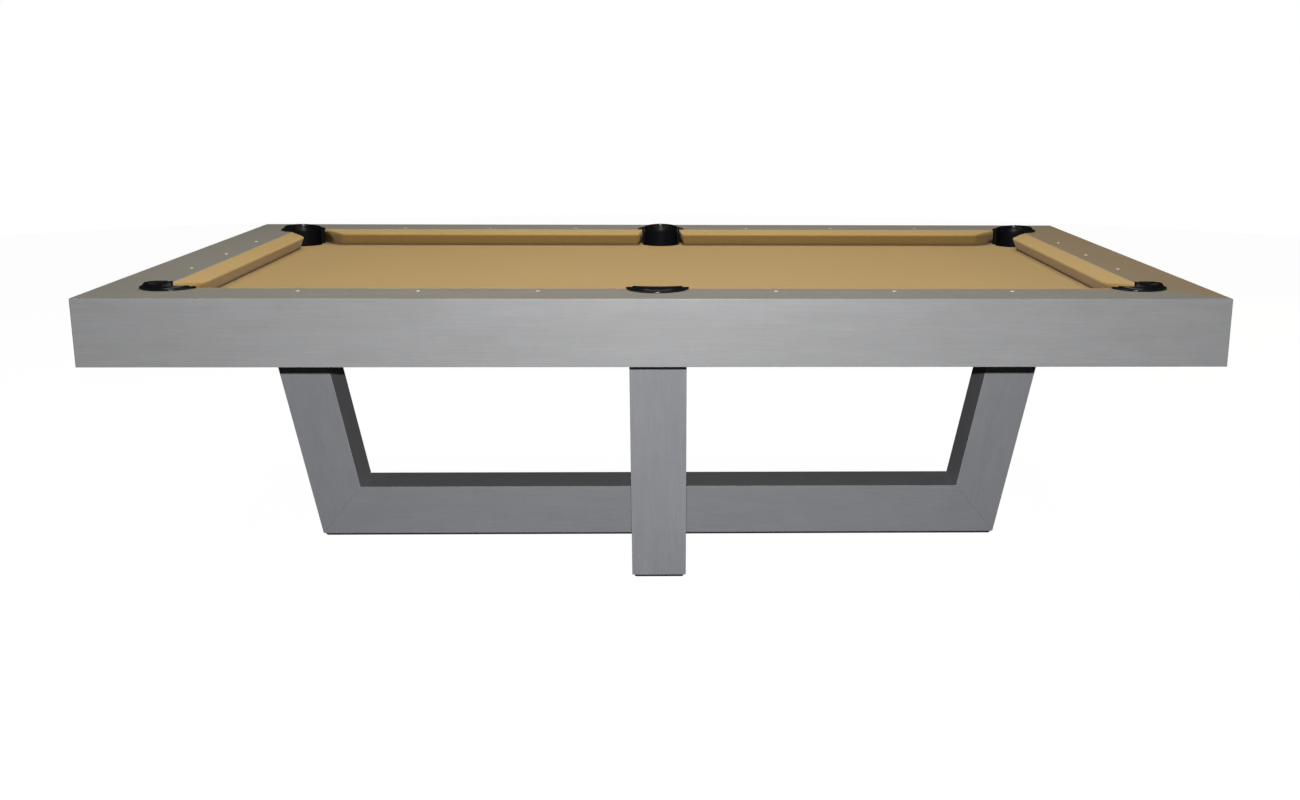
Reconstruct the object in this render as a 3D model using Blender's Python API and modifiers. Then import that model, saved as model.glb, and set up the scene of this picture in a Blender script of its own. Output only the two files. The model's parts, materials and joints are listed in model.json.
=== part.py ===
"""Pool table on two crossed, splayed foot frames, with drop pockets.

Metres, +Z up, floor at Z = 0, the table's length along X and its front towards -Y.
"""
import math

import bmesh
import bpy
from mathutils import Matrix, Vector

# Driving dimensions
PLAY_LENGTH = 2.2352          # between the noses of the two end cushions
PLAY_WIDTH = 1.1176           # between the noses of the two side cushions
PLAY_HEIGHT = 0.762           # floor to the top of the bed cloth
RAIL_RISE = 0.046             # bed cloth to the top of the wooden rails
RAIL_WIDTH = 0.2032           # cushion nose to the outer face of the table
CUSHION_WIDTH = 0.056         # cushion nose to the joint of cloth and wood
NOSE_DROP = 0.010             # rail top to the cushion's nose
NOSE_RADIUS = 0.003
CUSHION_UNDERCUT = 0.015      # how far the cushion's foot stands behind its nose
FACING_DRAFT = 0.15           # lean of a cushion's end face, run over rise

SIDE_MOUTH = 0.140            # between the noses at a side pocket
SIDE_FACING = math.radians(100)
CORNER_MOUTH_INSET = 0.0955   # cushion end to the crossing of the nose lines
CORNER_FACING = math.radians(142)

CUP_RADIUS = 0.053            # inside of a pocket
CUP_WALL = 0.0035
CUP_DEPTH = 0.150             # rail top to the underside of the cup
CUP_EDGE_RADIUS = 0.014
CORNER_REACH = 0.0056         # how far a corner cup reaches inside the crossing
SIDE_REACH = 0.0025           # how far a side cup reaches inside the nose line
CORNER_FLANGE_RADIUS = 0.070
SIDE_FLANGE_RADIUS = 0.075
FLANGE_THICKNESS = 0.004
COLLAR_WIDTH = 0.011          # the raised lip, from the inside of the cup outwards
COLLAR_RISE = 0.015           # lip above the rail at the back of a pocket
JAW_RISE = 0.005              # lip above the rail at its two ends
SILL_DROP = 0.0035            # bed cloth to the front rim of a cup
CUP_CLEARANCE = 0.0006        # round the cup, in the wood and in the slate

SLATE_THICKNESS = 0.0254
SLATE_MARGIN = 0.120          # slate past the nose lines
CLOTH_THICKNESS = 0.001

APRON_DROP = 0.159            # rail top to the lower edge of the apron
APRON_THICKNESS = 0.025

LEG_INSET = 0.018             # top of a leg's outer face inside the nose line
LEG_SPLAY = math.radians(11.4)
LEG_WIDTH = 0.141             # leg measured level, in the plane of its frame
FOOT_HEIGHT = 0.139
FOOT_THICKNESS = 0.142        # both foot frames, square to their plane
LEG_TOP_COVER = 0.004         # apron's lower edge below the tops of the legs

SHOE_HEIGHT = 0.009
SHOE_INSET = 0.006
SHOE_CHAMFER = 0.004

PLATE_SIZE = 0.120
PLATE_THICKNESS = 0.006
FRAME_BEAM_WIDTH = 0.090
FRAME_BEAM_OVERHANG = 0.100   # long frame beams past the nose lines

LEVELER_INSET = 0.080         # leveler's axis from the end of its foot
PAD_RADIUS = 0.025
PAD_THICKNESS = 0.008
PAD_BOSS_RADIUS = 0.010
PAD_BOSS_HEIGHT = 0.006
PAD_LIFT = 0.0005             # pad's face above the floor when screwed right in
PAD_CLEARANCE = 0.0015
STUD_RADIUS = 0.006
STUD_LENGTH = 0.064
HEX_RADIUS = 0.0095           # wrench collar, over its corners
HEX_HEIGHT = 0.007
INSERT_RADIUS = 0.0085
INSERT_FLANGE_RADIUS = 0.014
INSERT_FLANGE_THICKNESS = 0.002
INSERT_HEIGHT = 0.020
LEVELER_POCKET_DEPTH = 0.022  # wide bore in the foot, below the insert
LEVELER_BORE_DEPTH = 0.075    # narrow bore in the foot, from its underside

GAP = 0.0003                  # left between two faces that touch
THREAD_CLEARANCE = 0.00025    # leaves a gap between the flats of the faceted bore and stud
CUP_STEPS = 28
HOLE_STEPS = 20
LEVELER_STEPS = 16

# Sizes that follow
RAIL_TOP = PLAY_HEIGHT + RAIL_RISE
HALF_LENGTH = PLAY_LENGTH / 2 + RAIL_WIDTH
HALF_WIDTH = PLAY_WIDTH / 2 + RAIL_WIDTH
APRON_BOTTOM = RAIL_TOP - APRON_DROP
LEG_TOP = APRON_BOTTOM + LEG_TOP_COVER
LEG_SLOPE = math.tan(LEG_SPLAY)
FOOT_TOP = SHOE_HEIGHT + FOOT_HEIGHT
CLOTH_BOTTOM = PLAY_HEIGHT - CLOTH_THICKNESS
SLATE_TOP = CLOTH_BOTTOM - GAP
SLATE_BOTTOM = SLATE_TOP - SLATE_THICKNESS
FRAME_TOP = SLATE_BOTTOM - GAP
FRAME_BOTTOM = LEG_TOP + 2 * GAP + PLATE_THICKNESS
LEG_TOP_X = PLAY_LENGTH / 2 - LEG_INSET
LEG_TOP_Y = PLAY_WIDTH / 2 - LEG_INSET
BEAM_X = LEG_TOP_X - LEG_WIDTH / 2
BEAM_Y = LEG_TOP_Y - LEG_WIDTH / 2
CUP_OUTER = CUP_RADIUS + CUP_WALL
CORNER_OFFSET = (CUP_OUTER - CORNER_REACH) / math.sqrt(2)
SIDE_OFFSET = CUP_OUTER - SIDE_REACH
SLATE_X = PLAY_LENGTH / 2 + SLATE_MARGIN
SLATE_Y = PLAY_WIDTH / 2 + SLATE_MARGIN

UP = Vector((0, 0, 1))
SIDES = {
    "front": (Vector((0, -1, 0)), PLAY_WIDTH / 2, PLAY_LENGTH / 2),
    "back": (Vector((0, 1, 0)), PLAY_WIDTH / 2, PLAY_LENGTH / 2),
    "left": (Vector((-1, 0, 0)), PLAY_LENGTH / 2, PLAY_WIDTH / 2),
    "right": (Vector((1, 0, 0)), PLAY_LENGTH / 2, PLAY_WIDTH / 2),
}


# Scene, collections and materials
def clear_scene():
    for item in list(bpy.data.objects):
        bpy.data.objects.remove(item, do_unlink=True)


def new_collection(name):
    collection = bpy.data.collections.new(name)
    bpy.context.scene.collection.children.link(collection)
    return collection


def finish_of(name, colour, roughness, metallic=0.0):
    material = bpy.data.materials.new(name)
    material.use_nodes = True
    shader = material.node_tree.nodes["Principled BSDF"]
    shader.inputs["Base Color"].default_value = (*colour, 1.0)
    shader.inputs["Roughness"].default_value = roughness
    shader.inputs["Metallic"].default_value = metallic
    material.diffuse_color = (*colour, 1.0)
    return material


def add_part(name, mesh, finish, matrix=Matrix.Identity(4)):
    part = bpy.data.objects.new(name, mesh)
    part.matrix_world = matrix
    PARTS.objects.link(part)
    mesh.materials.clear()
    mesh.materials.append(FINISHES[finish])
    return part


def add_cutter(name, mesh, matrix=Matrix.Identity(4)):
    cutter = bpy.data.objects.new(name, mesh)
    cutter.matrix_world = matrix
    cutter.hide_render = True
    cutter.display_type = "WIRE"
    CUTTERS.objects.link(cutter)
    return cutter


def subtract(part, cutter):
    cut = part.modifiers.new(cutter.name, "BOOLEAN")
    cut.operation = "DIFFERENCE"
    cut.object = cutter


def join_to(part, cutter):
    union = part.modifiers.new(cutter.name, "BOOLEAN")
    union.operation = "UNION"
    union.object = cutter


# Shapes
def mesh_from(name, form):
    mesh = bpy.data.meshes.new(name)
    form.to_mesh(mesh)
    form.free()
    return mesh


def ordered(one, other):
    low = Vector([min(a, b) for a, b in zip(one, other)])
    high = Vector([max(a, b) for a, b in zip(one, other)])
    return low, high


def board(name, low, high, cuts=()):
    """A box between two corners, sawn by planes: each cut is (point, outward normal)."""
    low = Vector(low)
    high = Vector(high)
    form = bmesh.new()
    bmesh.ops.create_cube(form, size=1.0)
    bmesh.ops.scale(form, vec=high - low, verts=form.verts)
    bmesh.ops.translate(form, vec=(low + high) / 2, verts=form.verts)
    for point, normal in cuts:
        everything = form.verts[:] + form.edges[:] + form.faces[:]
        bmesh.ops.bisect_plane(form, geom=everything, plane_co=point, plane_no=normal,
                               clear_outer=True, dist=1e-7)
        rim = [edge for edge in form.edges if edge.is_boundary]
        bmesh.ops.holes_fill(form, edges=rim, sides=0)
    bmesh.ops.recalc_face_normals(form, faces=form.faces)
    return mesh_from(name, form)


def cylinder(name, radius, low, high, steps=HOLE_STEPS):
    form = bmesh.new()
    bmesh.ops.create_cone(form, cap_ends=True, segments=steps, radius1=radius, radius2=radius,
                          depth=high - low)
    bmesh.ops.translate(form, vec=UP * (low + high) / 2, verts=form.verts)
    return mesh_from(name, form)


def open_slot(name, radius, reach, low, high):
    """A round hole whose far half is drawn out along +Y, for a notch open to an edge."""
    form = bmesh.new()
    bmesh.ops.create_cone(form, cap_ends=True, segments=CUP_STEPS, radius1=radius,
                          radius2=radius, depth=high - low)
    bmesh.ops.translate(form, vec=UP * (low + high) / 2, verts=form.verts)
    for vertex in form.verts:
        if vertex.co.y > radius / 10:
            vertex.co.y += reach
    return mesh_from(name, form)


def turned(name, profile, finish, steps, location=(0, 0, 0)):
    """A profile of (radius, height) pairs turned about Z, its outer side running down."""
    mesh = bpy.data.meshes.new(name)
    points = [(radius, 0.0, height) for radius, height in profile]
    mesh.from_pydata(points, [(i, i + 1) for i in range(len(points) - 1)], [])
    part = add_part(name, mesh, finish, Matrix.Translation(location))
    screw = part.modifiers.new("turn", "SCREW")
    screw.steps = steps
    screw.render_steps = steps
    screw.use_merge_vertices = True
    screw.merge_threshold = 0.00001
    screw.use_smooth_shade = True
    return part


def arc(centre, radius, start, end, count):
    angles = [math.radians(start + (end - start) * i / count) for i in range(count + 1)]
    return [(centre[0] + radius * math.cos(a), centre[1] + radius * math.sin(a)) for a in angles]


# Foot frames
def foot_frame(direction, top_reach, names, shoe_names):
    """One trapezoid frame: a foot with a mitred leg at each end, all in one plane."""
    along = Vector(direction)
    across = UP.cross(along)
    drop = LEG_TOP - SHOE_HEIGHT
    end = top_reach - drop * LEG_SLOPE
    inner_end = end + FOOT_HEIGHT * LEG_SLOPE - LEG_WIDTH
    half = FOOT_THICKNESS / 2
    mitre = Vector((FOOT_HEIGHT, inner_end - end)).normalized()
    leg_cos, leg_sin = math.cos(LEG_SPLAY), math.sin(LEG_SPLAY)

    def space(a, z):
        return along * a + UP * z

    foot_low = space(-end - FOOT_THICKNESS, SHOE_HEIGHT) - across * half
    foot_high = space(end + FOOT_THICKNESS, FOOT_TOP) + across * half
    cuts = []
    for sign in (-1, 1):
        normal = along * sign * mitre.x - UP * mitre.y
        cuts.append((space(sign * end, SHOE_HEIGHT) - normal * GAP / 2, normal))
    foot = add_part(names[0], board(names[0], *ordered(foot_low, foot_high), cuts), "stained_wood")

    for sign, name in ((-1, names[1]), (1, names[2])):
        low = space(0, SHOE_HEIGHT) - across * half
        high = space(sign * (top_reach + LEG_WIDTH), LEG_TOP) + across * half
        outer = along * sign * leg_cos - UP * leg_sin
        mitre_normal = UP * mitre.y - along * sign * mitre.x
        leg_cuts = [
            (space(sign * end, SHOE_HEIGHT), outer),
            (space(sign * inner_end, FOOT_TOP), -outer),
            (space(sign * end, SHOE_HEIGHT) - mitre_normal * GAP / 2, mitre_normal),
        ]
        add_part(name, board(name, *ordered(low, high), leg_cuts), "stained_wood")
        plate_centre = along * sign * (top_reach - LEG_WIDTH / 2)
        plate_name = name.replace("leg", "leg_plate")
        reach = Vector((PLATE_SIZE / 2, PLATE_SIZE / 2, 0))
        plate = board(plate_name, plate_centre - reach + UP * (LEG_TOP + GAP),
                      plate_centre + reach + UP * (LEG_TOP + GAP + PLATE_THICKNESS))
        add_part(plate_name, plate, "zinc_steel")

    shoe_half = half - SHOE_INSET
    shoe_end = end - SHOE_INSET
    spans = [(-shoe_end, shoe_end)]
    if len(shoe_names) == 2:
        spans = [(-shoe_end, -shoe_half - GAP), (shoe_half + GAP, shoe_end)]
    for name, (start, stop) in zip(shoe_names, spans):
        shoe = shoe_mesh(name, along, across, start, stop, shoe_half, shoe_end)
        add_part(name, shoe, "black_shoe")
    return foot, end


def shoe_mesh(name, along, across, start, stop, half, free_end):
    """A floor strip with its free lower edges chamfered."""
    low = along * start - across * half
    high = along * stop + across * half + UP * (SHOE_HEIGHT - GAP)
    cuts = []
    for sign in (-1, 1):
        normal = (across * sign - UP).normalized()
        cuts.append((across * sign * (half - SHOE_CHAMFER), normal))
    for sign, edge in ((-1, start), (1, stop)):
        if abs(abs(edge) - free_end) < 1e-9:
            normal = (along * sign - UP).normalized()
            cuts.append((along * (edge - sign * SHOE_CHAMFER), normal))
    return board(name, *ordered(low, high), cuts)


def half_lap(long_foot, cross_foot):
    """The two feet cross in one plane: each loses half its height to the other."""
    half = FOOT_THICKNESS / 2 + GAP / 2
    middle = SHOE_HEIGHT + FOOT_HEIGHT / 2
    upper = board("lap_upper", (-half, -FOOT_THICKNESS, middle - GAP / 2),
                  (half, FOOT_THICKNESS, FOOT_TOP + FOOT_HEIGHT))
    lower = board("lap_lower", (-FOOT_THICKNESS, -half, 0),
                  (FOOT_THICKNESS, half, middle + GAP / 2))
    subtract(long_foot, add_cutter("lap_upper", upper))
    subtract(cross_foot, add_cutter("lap_lower", lower))


# Levelers
def leveler(name, place, foot, shoe):
    """A swivel pad on a threaded stud, screwed into an insert in the foot."""
    mouth = board_hole("hole_" + name, PAD_RADIUS + PAD_CLEARANCE, place, -SHOE_HEIGHT,
                       SHOE_HEIGHT * 2)
    subtract(shoe, mouth)
    insert_seat = SHOE_HEIGHT + LEVELER_POCKET_DEPTH
    wide = board_hole("pocket_" + name, INSERT_FLANGE_RADIUS + CUP_CLEARANCE, place, 0,
                      insert_seat)
    narrow = board_hole("bore_" + name, INSERT_RADIUS + GAP, place, 0,
                        SHOE_HEIGHT + LEVELER_BORE_DEPTH)
    subtract(foot, wide)
    subtract(foot, narrow)

    pad_top = PAD_LIFT + PAD_THICKNESS
    boss_top = pad_top + PAD_BOSS_HEIGHT
    socket = STUD_RADIUS + THREAD_CLEARANCE
    stud_foot = pad_top
    pad_profile = [(0, stud_foot - GAP), (socket, stud_foot - GAP), (socket, boss_top),
                   (PAD_BOSS_RADIUS, boss_top), (PAD_BOSS_RADIUS, pad_top),
                   (PAD_RADIUS - PAD_THICKNESS / 4, pad_top), (PAD_RADIUS, pad_top * 0.75),
                   (PAD_RADIUS, PAD_LIFT), (0, PAD_LIFT)]
    turned("leveler_pad_" + name, pad_profile, "black_rubber", LEVELER_STEPS, place)

    stud_profile = [(0, stud_foot + STUD_LENGTH), (STUD_RADIUS * 0.8, stud_foot + STUD_LENGTH),
                    (STUD_RADIUS, stud_foot + STUD_LENGTH - STUD_RADIUS / 4),
                    (STUD_RADIUS, stud_foot), (0, stud_foot)]
    stud = turned("leveler_stud_" + name, stud_profile, "zinc_steel", LEVELER_STEPS, place)
    hexagon = cylinder("hex_" + name, HEX_RADIUS, boss_top + GAP, boss_top + GAP + HEX_HEIGHT, 6)
    join_to(stud, add_cutter("hex_" + name, hexagon, Matrix.Translation(place)))

    bore = STUD_RADIUS + THREAD_CLEARANCE
    flange_low = insert_seat - GAP - INSERT_FLANGE_THICKNESS
    flange_high = insert_seat - GAP
    insert_top = flange_high + INSERT_HEIGHT
    insert_profile = [(bore, flange_low), (bore, insert_top), (INSERT_RADIUS, insert_top),
                      (INSERT_RADIUS, flange_high), (INSERT_FLANGE_RADIUS, flange_high),
                      (INSERT_FLANGE_RADIUS, flange_low), (bore, flange_low)]
    turned("leveler_insert_" + name, insert_profile, "zinc_steel", LEVELER_STEPS, place)


def board_hole(name, radius, place, low, high):
    return add_cutter(name, cylinder(name, radius, low, high), Matrix.Translation(place))


# Frame under the slate
def under_frame():
    half = FRAME_BEAM_WIDTH / 2
    reach_x = PLAY_LENGTH / 2 + FRAME_BEAM_OVERHANG
    for name, y in (("frame_beam_front", -BEAM_Y), ("frame_beam_back", BEAM_Y)):
        beam = board(name, (-reach_x, y - half, FRAME_BOTTOM), (reach_x, y + half, FRAME_TOP))
        add_part(name, beam, "frame_timber")
    reach_y = BEAM_Y - half - GAP
    for name, x in (("frame_beam_left", -BEAM_X), ("frame_beam_centre", 0),
                    ("frame_beam_right", BEAM_X)):
        beam = board(name, (x - half, -reach_y, FRAME_BOTTOM), (x + half, reach_y, FRAME_TOP))
        add_part(name, beam, "frame_timber")


# Pockets
def pocket_places():
    """Each pocket's axis and the turn that points its mouth, local -Y, at the table."""
    corner_x = PLAY_LENGTH / 2 + CORNER_OFFSET
    corner_y = PLAY_WIDTH / 2 + CORNER_OFFSET
    side_y = PLAY_WIDTH / 2 + SIDE_OFFSET
    places = {}
    for end, sx in (("left", -1), ("right", 1)):
        for side, sy in (("front", -1), ("back", 1)):
            turn = math.atan2(sy, sx) - math.pi / 2
            places["pocket_" + side + "_" + end] = (sx * corner_x, sy * corner_y, turn)
    places["pocket_front_side"] = (0, -side_y, math.pi)
    places["pocket_back_side"] = (0, side_y, 0)
    return places


def pocket_matrix(place):
    x, y, turn = place
    return Matrix.Translation((x, y, RAIL_TOP)) @ Matrix.Rotation(turn, 4, "Z")


def corner_mouth_line():
    """Where a corner cup's wall crosses the cloth joint, as local Y from its axis."""
    across = CUSHION_WIDTH - CORNER_OFFSET
    wall_x = CORNER_OFFSET - math.sqrt(CUP_OUTER ** 2 - across ** 2)
    return (wall_x + CUSHION_WIDTH) / math.sqrt(2) - CORNER_OFFSET * math.sqrt(2)


def cup_profile(flange_radius):
    bottom = -CUP_DEPTH
    floor = bottom + CUP_WALL
    edge = CUP_EDGE_RADIUS
    lip = COLLAR_WIDTH / 2
    lip_centre = (CUP_RADIUS + lip, COLLAR_RISE - lip)
    profile = [(0, floor)]
    profile += arc((CUP_RADIUS - edge, floor + edge), edge, -90, 0, 3)
    profile += arc(lip_centre, lip, 180, 0, 5)
    profile += [(CUP_RADIUS + COLLAR_WIDTH, GAP + FLANGE_THICKNESS),
                (flange_radius - FLANGE_THICKNESS / 2, GAP + FLANGE_THICKNESS),
                (flange_radius, GAP + FLANGE_THICKNESS / 2), (flange_radius, GAP),
                (CUP_OUTER, GAP)]
    profile += arc((CUP_OUTER - edge, bottom + edge), edge, 0, -90, 3)
    profile += [(0, bottom)]
    return profile


def pocket(name, place, flange_radius, mouth_line):
    """A moulded cup with a rail flange and a raised lip, open towards the bed."""
    matrix = pocket_matrix(place)
    part = turned(name, cup_profile(flange_radius), "pocket_rubber", CUP_STEPS)
    part.matrix_world = matrix
    reach = 2 * flange_radius
    mouth = board(name + "_mouth", (-reach, -reach, -RAIL_RISE - SILL_DROP),
                  (reach, mouth_line, reach))
    subtract(part, add_cutter(name + "_mouth", mouth, matrix))

    back = flange_radius
    fall = (COLLAR_RISE - JAW_RISE) / (back - mouth_line)
    tilt = Vector((0, fall, -1)).normalized()
    plane_point = Vector((0, back, COLLAR_RISE))
    slope = board(name + "_slope", (-reach, -reach, 0), (reach, reach, reach),
                  [(plane_point, tilt)])
    subtract(part, add_cutter(name + "_slope", slope, matrix))


def pocket_cutters():
    """The hole of each pocket in the rails, and its open notch in the slate."""
    holes = {}
    slots = {}
    radius = CUP_OUTER + CUP_CLEARANCE
    below = SLATE_BOTTOM - RAIL_TOP - SLATE_THICKNESS
    for name, place in pocket_places().items():
        matrix = pocket_matrix(place)
        hole = cylinder(name + "_hole", radius, -RAIL_RISE * 2, RAIL_RISE, CUP_STEPS)
        holes[name] = add_cutter(name + "_hole", hole, matrix)
        slot = open_slot(name + "_slot", radius, 2 * SLATE_MARGIN, below, RAIL_RISE)
        slots[name] = add_cutter(name + "_slot", slot, matrix)
    return holes, slots


# Slate and bed cloth
def bed(slots):
    third = SLATE_X / 3
    joints = (-SLATE_X, -third, third, SLATE_X)
    for name, start, stop in zip(("slate_left", "slate_centre", "slate_right"), joints,
                                 joints[1:]):
        low = start + (GAP / 2 if start > -SLATE_X else 0)
        high = stop - (GAP / 2 if stop < SLATE_X else 0)
        slab = board(name, (low, -SLATE_Y, SLATE_BOTTOM), (high, SLATE_Y, SLATE_TOP))
        part = add_part(name, slab, "slate")
        for slot in slots.values():
            if low < slot.matrix_world.translation.x < high:
                subtract(part, slot)
    sheet = board("bed_cloth", (-SLATE_X, -SLATE_Y, CLOTH_BOTTOM),
                  (SLATE_X, SLATE_Y, PLAY_HEIGHT))
    cloth = add_part("bed_cloth", sheet, "cloth")
    for slot in slots.values():
        subtract(cloth, slot)


# Rails, aprons and cushions, each described once for all four sides
def side_box(side, near, far, low, high):
    """A box from near to far outside the side's nose line, along the table's whole side."""
    out, nose, run = SIDES[side]
    along = UP.cross(out)
    reach = run + RAIL_WIDTH
    one = out * (nose + near) - along * reach + UP * (RAIL_TOP + low)
    other = out * (nose + far) + along * reach + UP * (RAIL_TOP + high)
    return ordered(one, other)


def corner_mitres(side):
    out, nose, run = SIDES[side]
    along = UP.cross(out)
    cuts = []
    for sign in (-1, 1):
        corner = out * (nose + RAIL_WIDTH) + along * sign * (run + RAIL_WIDTH)
        normal = (along * sign - out).normalized()
        cuts.append((corner - normal * GAP / 2, normal))
    return cuts


def rails(holes):
    for side, (out, nose, run) in SIDES.items():
        edge = out * (nose + RAIL_WIDTH) + UP * RAIL_TOP
        apron_mitre = (out - UP).normalized()
        cuts = corner_mitres(side)
        cuts.append((edge - apron_mitre * GAP / 2, apron_mitre))
        box = side_box(side, CUSHION_WIDTH + GAP, RAIL_WIDTH, GAP - RAIL_RISE, 0)
        rail = add_part("rail_" + side, board("rail_" + side, *box, cuts), "stained_wood")
        rebate = side_box(side, RAIL_WIDTH - APRON_THICKNESS - GAP / 2, RAIL_WIDTH * 2,
                          -RAIL_RISE * 2, -APRON_THICKNESS)
        subtract(rail, add_cutter("rebate_" + side, board("rebate_" + side, *rebate)))
        for hole in holes.values():
            if 0 < hole.matrix_world.translation.dot(out) - nose < RAIL_WIDTH:
                subtract(rail, hole)


def aprons():
    for side, (out, nose, run) in SIDES.items():
        edge = out * (nose + RAIL_WIDTH) + UP * RAIL_TOP
        mitre = (UP - out).normalized()
        cuts = corner_mitres(side)
        cuts.append((edge - mitre * GAP / 2, mitre))
        box = side_box(side, RAIL_WIDTH - APRON_THICKNESS + GAP / 2, RAIL_WIDTH,
                       -APRON_DROP, 0)
        add_part("apron_" + side, board("apron_" + side, *box, cuts), "stained_wood")


def cushion_planes(side, start, stop):
    """The faces of a cushion, each (point, outward normal); an end is (reach, facing)."""
    out, nose, run = SIDES[side]
    along = UP.cross(out)
    origin = out * nose + UP * RAIL_TOP
    tip = origin - UP * NOSE_DROP
    foot = origin + out * CUSHION_UNDERCUT - UP * RAIL_RISE
    shoulder = origin + out * NOSE_RADIUS - UP * (NOSE_DROP - NOSE_RADIUS)
    top_edge = origin + out * CUSHION_WIDTH
    slope = (top_edge - shoulder).normalized()
    undercut = (tip - UP * NOSE_RADIUS - foot).normalized()
    planes = [
        (top_edge, oriented(along.cross(slope), UP)),
        (tip, -out),
        (shoulder, (UP * 2 - out).normalized()),
        (shoulder - UP * NOSE_RADIUS / 4, (UP - out * 2).normalized()),
        (foot, oriented(along.cross(undercut), -out)),
    ]
    ends = []
    for sign, (reach, facing) in ((-1, start), (1, stop)):
        point = tip + along * reach
        spread = math.tan(facing - math.pi / 2)
        run_back = along * sign * spread + out
        lean = UP + along * sign * FACING_DRAFT
        ends.append((point, oriented(run_back.cross(lean).normalized(), along * sign)))
    return planes + ends


def oriented(normal, towards):
    return normal if normal.dot(towards) > 0 else -normal


def cushion_form(name, side, planes, inset, back):
    """The cushion's body, every face but its back moved in by inset."""
    low, high = side_box(side, 0, back, -RAIL_RISE + GAP + inset, 0)
    cuts = [(point - normal * inset, normal) for point, normal in planes]
    return board(name, low, high, cuts)


def cushion(name, side, start, stop):
    """A rubber bolster and the cloth stretched round it, open at the wooden rail."""
    planes = cushion_planes(side, start, stop)
    rubber = cushion_form("rubber", side, planes, CLOTH_THICKNESS + GAP, CUSHION_WIDTH)
    add_part("cushion_rubber_" + name, rubber, "bolster_rubber")
    cover = cushion_form("cover", side, planes, 0, CUSHION_WIDTH)
    cloth = add_part("cushion_cloth_" + name, cover, "cloth")
    inside = cushion_form("inside", side, planes, CLOTH_THICKNESS, CUSHION_WIDTH * 2)
    subtract(cloth, add_cutter("inside_" + name, inside))


def cushions():
    for side, (out, nose, run) in SIDES.items():
        corner = run - CORNER_MOUTH_INSET
        corner_left = (-corner, CORNER_FACING)
        corner_right = (corner, CORNER_FACING)
        if side in ("left", "right"):
            cushion(side, side, corner_left, corner_right)
            continue
        sense = UP.cross(out).x
        names = ("left", "right") if sense > 0 else ("right", "left")
        cushion(side + "_" + names[0], side, corner_left, (-SIDE_MOUTH / 2, SIDE_FACING))
        cushion(side + "_" + names[1], side, (SIDE_MOUTH / 2, SIDE_FACING), corner_right)


# Build
clear_scene()
PARTS = new_collection("pool_table")
CUTTERS = new_collection("cutters")
FINISHES = {
    "stained_wood": finish_of("stained_wood", (0.27, 0.27, 0.28), 0.45),
    "frame_timber": finish_of("frame_timber", (0.55, 0.42, 0.27), 0.7),
    "black_shoe": finish_of("black_shoe", (0.02, 0.02, 0.022), 0.6),
    "zinc_steel": finish_of("zinc_steel", (0.55, 0.56, 0.58), 0.35, 1.0),
    "black_rubber": finish_of("black_rubber", (0.025, 0.025, 0.027), 0.7),
    "bolster_rubber": finish_of("bolster_rubber", (0.35, 0.22, 0.14), 0.8),
    "pocket_rubber": finish_of("pocket_rubber", (0.012, 0.012, 0.014), 0.28),
    "slate": finish_of("slate", (0.12, 0.125, 0.135), 0.75),
    "cloth": finish_of("cloth", (0.46, 0.32, 0.135), 0.9),
}

long_foot, long_end = foot_frame((1, 0, 0), LEG_TOP_X, ("foot_beam_long", "leg_left", "leg_right"),
                                 ("shoe_long",))
cross_foot, cross_end = foot_frame((0, 1, 0), LEG_TOP_Y,
                                   ("foot_beam_cross", "leg_front", "leg_back"),
                                   ("shoe_front", "shoe_back"))
half_lap(long_foot, cross_foot)
long_reach = long_end - LEVELER_INSET
cross_reach = cross_end - LEVELER_INSET
leveler("left", (-long_reach, 0, 0), long_foot, PARTS.objects["shoe_long"])
leveler("right", (long_reach, 0, 0), long_foot, PARTS.objects["shoe_long"])
leveler("front", (0, -cross_reach, 0), cross_foot, PARTS.objects["shoe_front"])
leveler("back", (0, cross_reach, 0), cross_foot, PARTS.objects["shoe_back"])
under_frame()

pocket_holes, pocket_slots = pocket_cutters()
bed(pocket_slots)
rails(pocket_holes)
aprons()
cushions()
for pocket_name, pocket_place in pocket_places().items():
    if pocket_name.endswith("side"):
        pocket(pocket_name, pocket_place, SIDE_FLANGE_RADIUS, CUSHION_WIDTH + GAP - SIDE_OFFSET)
    else:
        pocket(pocket_name, pocket_place, CORNER_FLANGE_RADIUS, corner_mouth_line())
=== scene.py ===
"""Looks of the pool table: stained wood, stretched cloth, moulded pockets, sights and hardware.

Metres, +Z up, floor at Z = 0, the table's length along X and its front towards -Y.
"""
import json
import math

import bmesh
import bpy
from mathutils import Matrix, Vector
from mathutils.bvhtree import BVHTree


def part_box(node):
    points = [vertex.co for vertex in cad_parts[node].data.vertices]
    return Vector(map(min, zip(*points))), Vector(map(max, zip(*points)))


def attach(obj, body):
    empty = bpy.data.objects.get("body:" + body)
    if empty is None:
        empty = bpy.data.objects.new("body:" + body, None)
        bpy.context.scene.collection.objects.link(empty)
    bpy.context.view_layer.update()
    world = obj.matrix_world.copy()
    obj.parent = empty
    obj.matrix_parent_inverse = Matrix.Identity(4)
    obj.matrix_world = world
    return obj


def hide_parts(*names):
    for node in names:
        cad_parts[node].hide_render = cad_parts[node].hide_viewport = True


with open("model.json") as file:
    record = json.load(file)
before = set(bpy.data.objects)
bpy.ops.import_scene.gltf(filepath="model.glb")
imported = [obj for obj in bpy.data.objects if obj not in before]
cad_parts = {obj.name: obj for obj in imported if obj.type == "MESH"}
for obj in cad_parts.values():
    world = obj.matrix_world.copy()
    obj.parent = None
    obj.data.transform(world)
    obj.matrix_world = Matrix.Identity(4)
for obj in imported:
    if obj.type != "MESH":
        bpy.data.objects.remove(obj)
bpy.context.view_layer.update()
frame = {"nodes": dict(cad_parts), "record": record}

# Levels and lines read from the frame
RAIL_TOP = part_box("rail_front")[1].z
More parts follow.
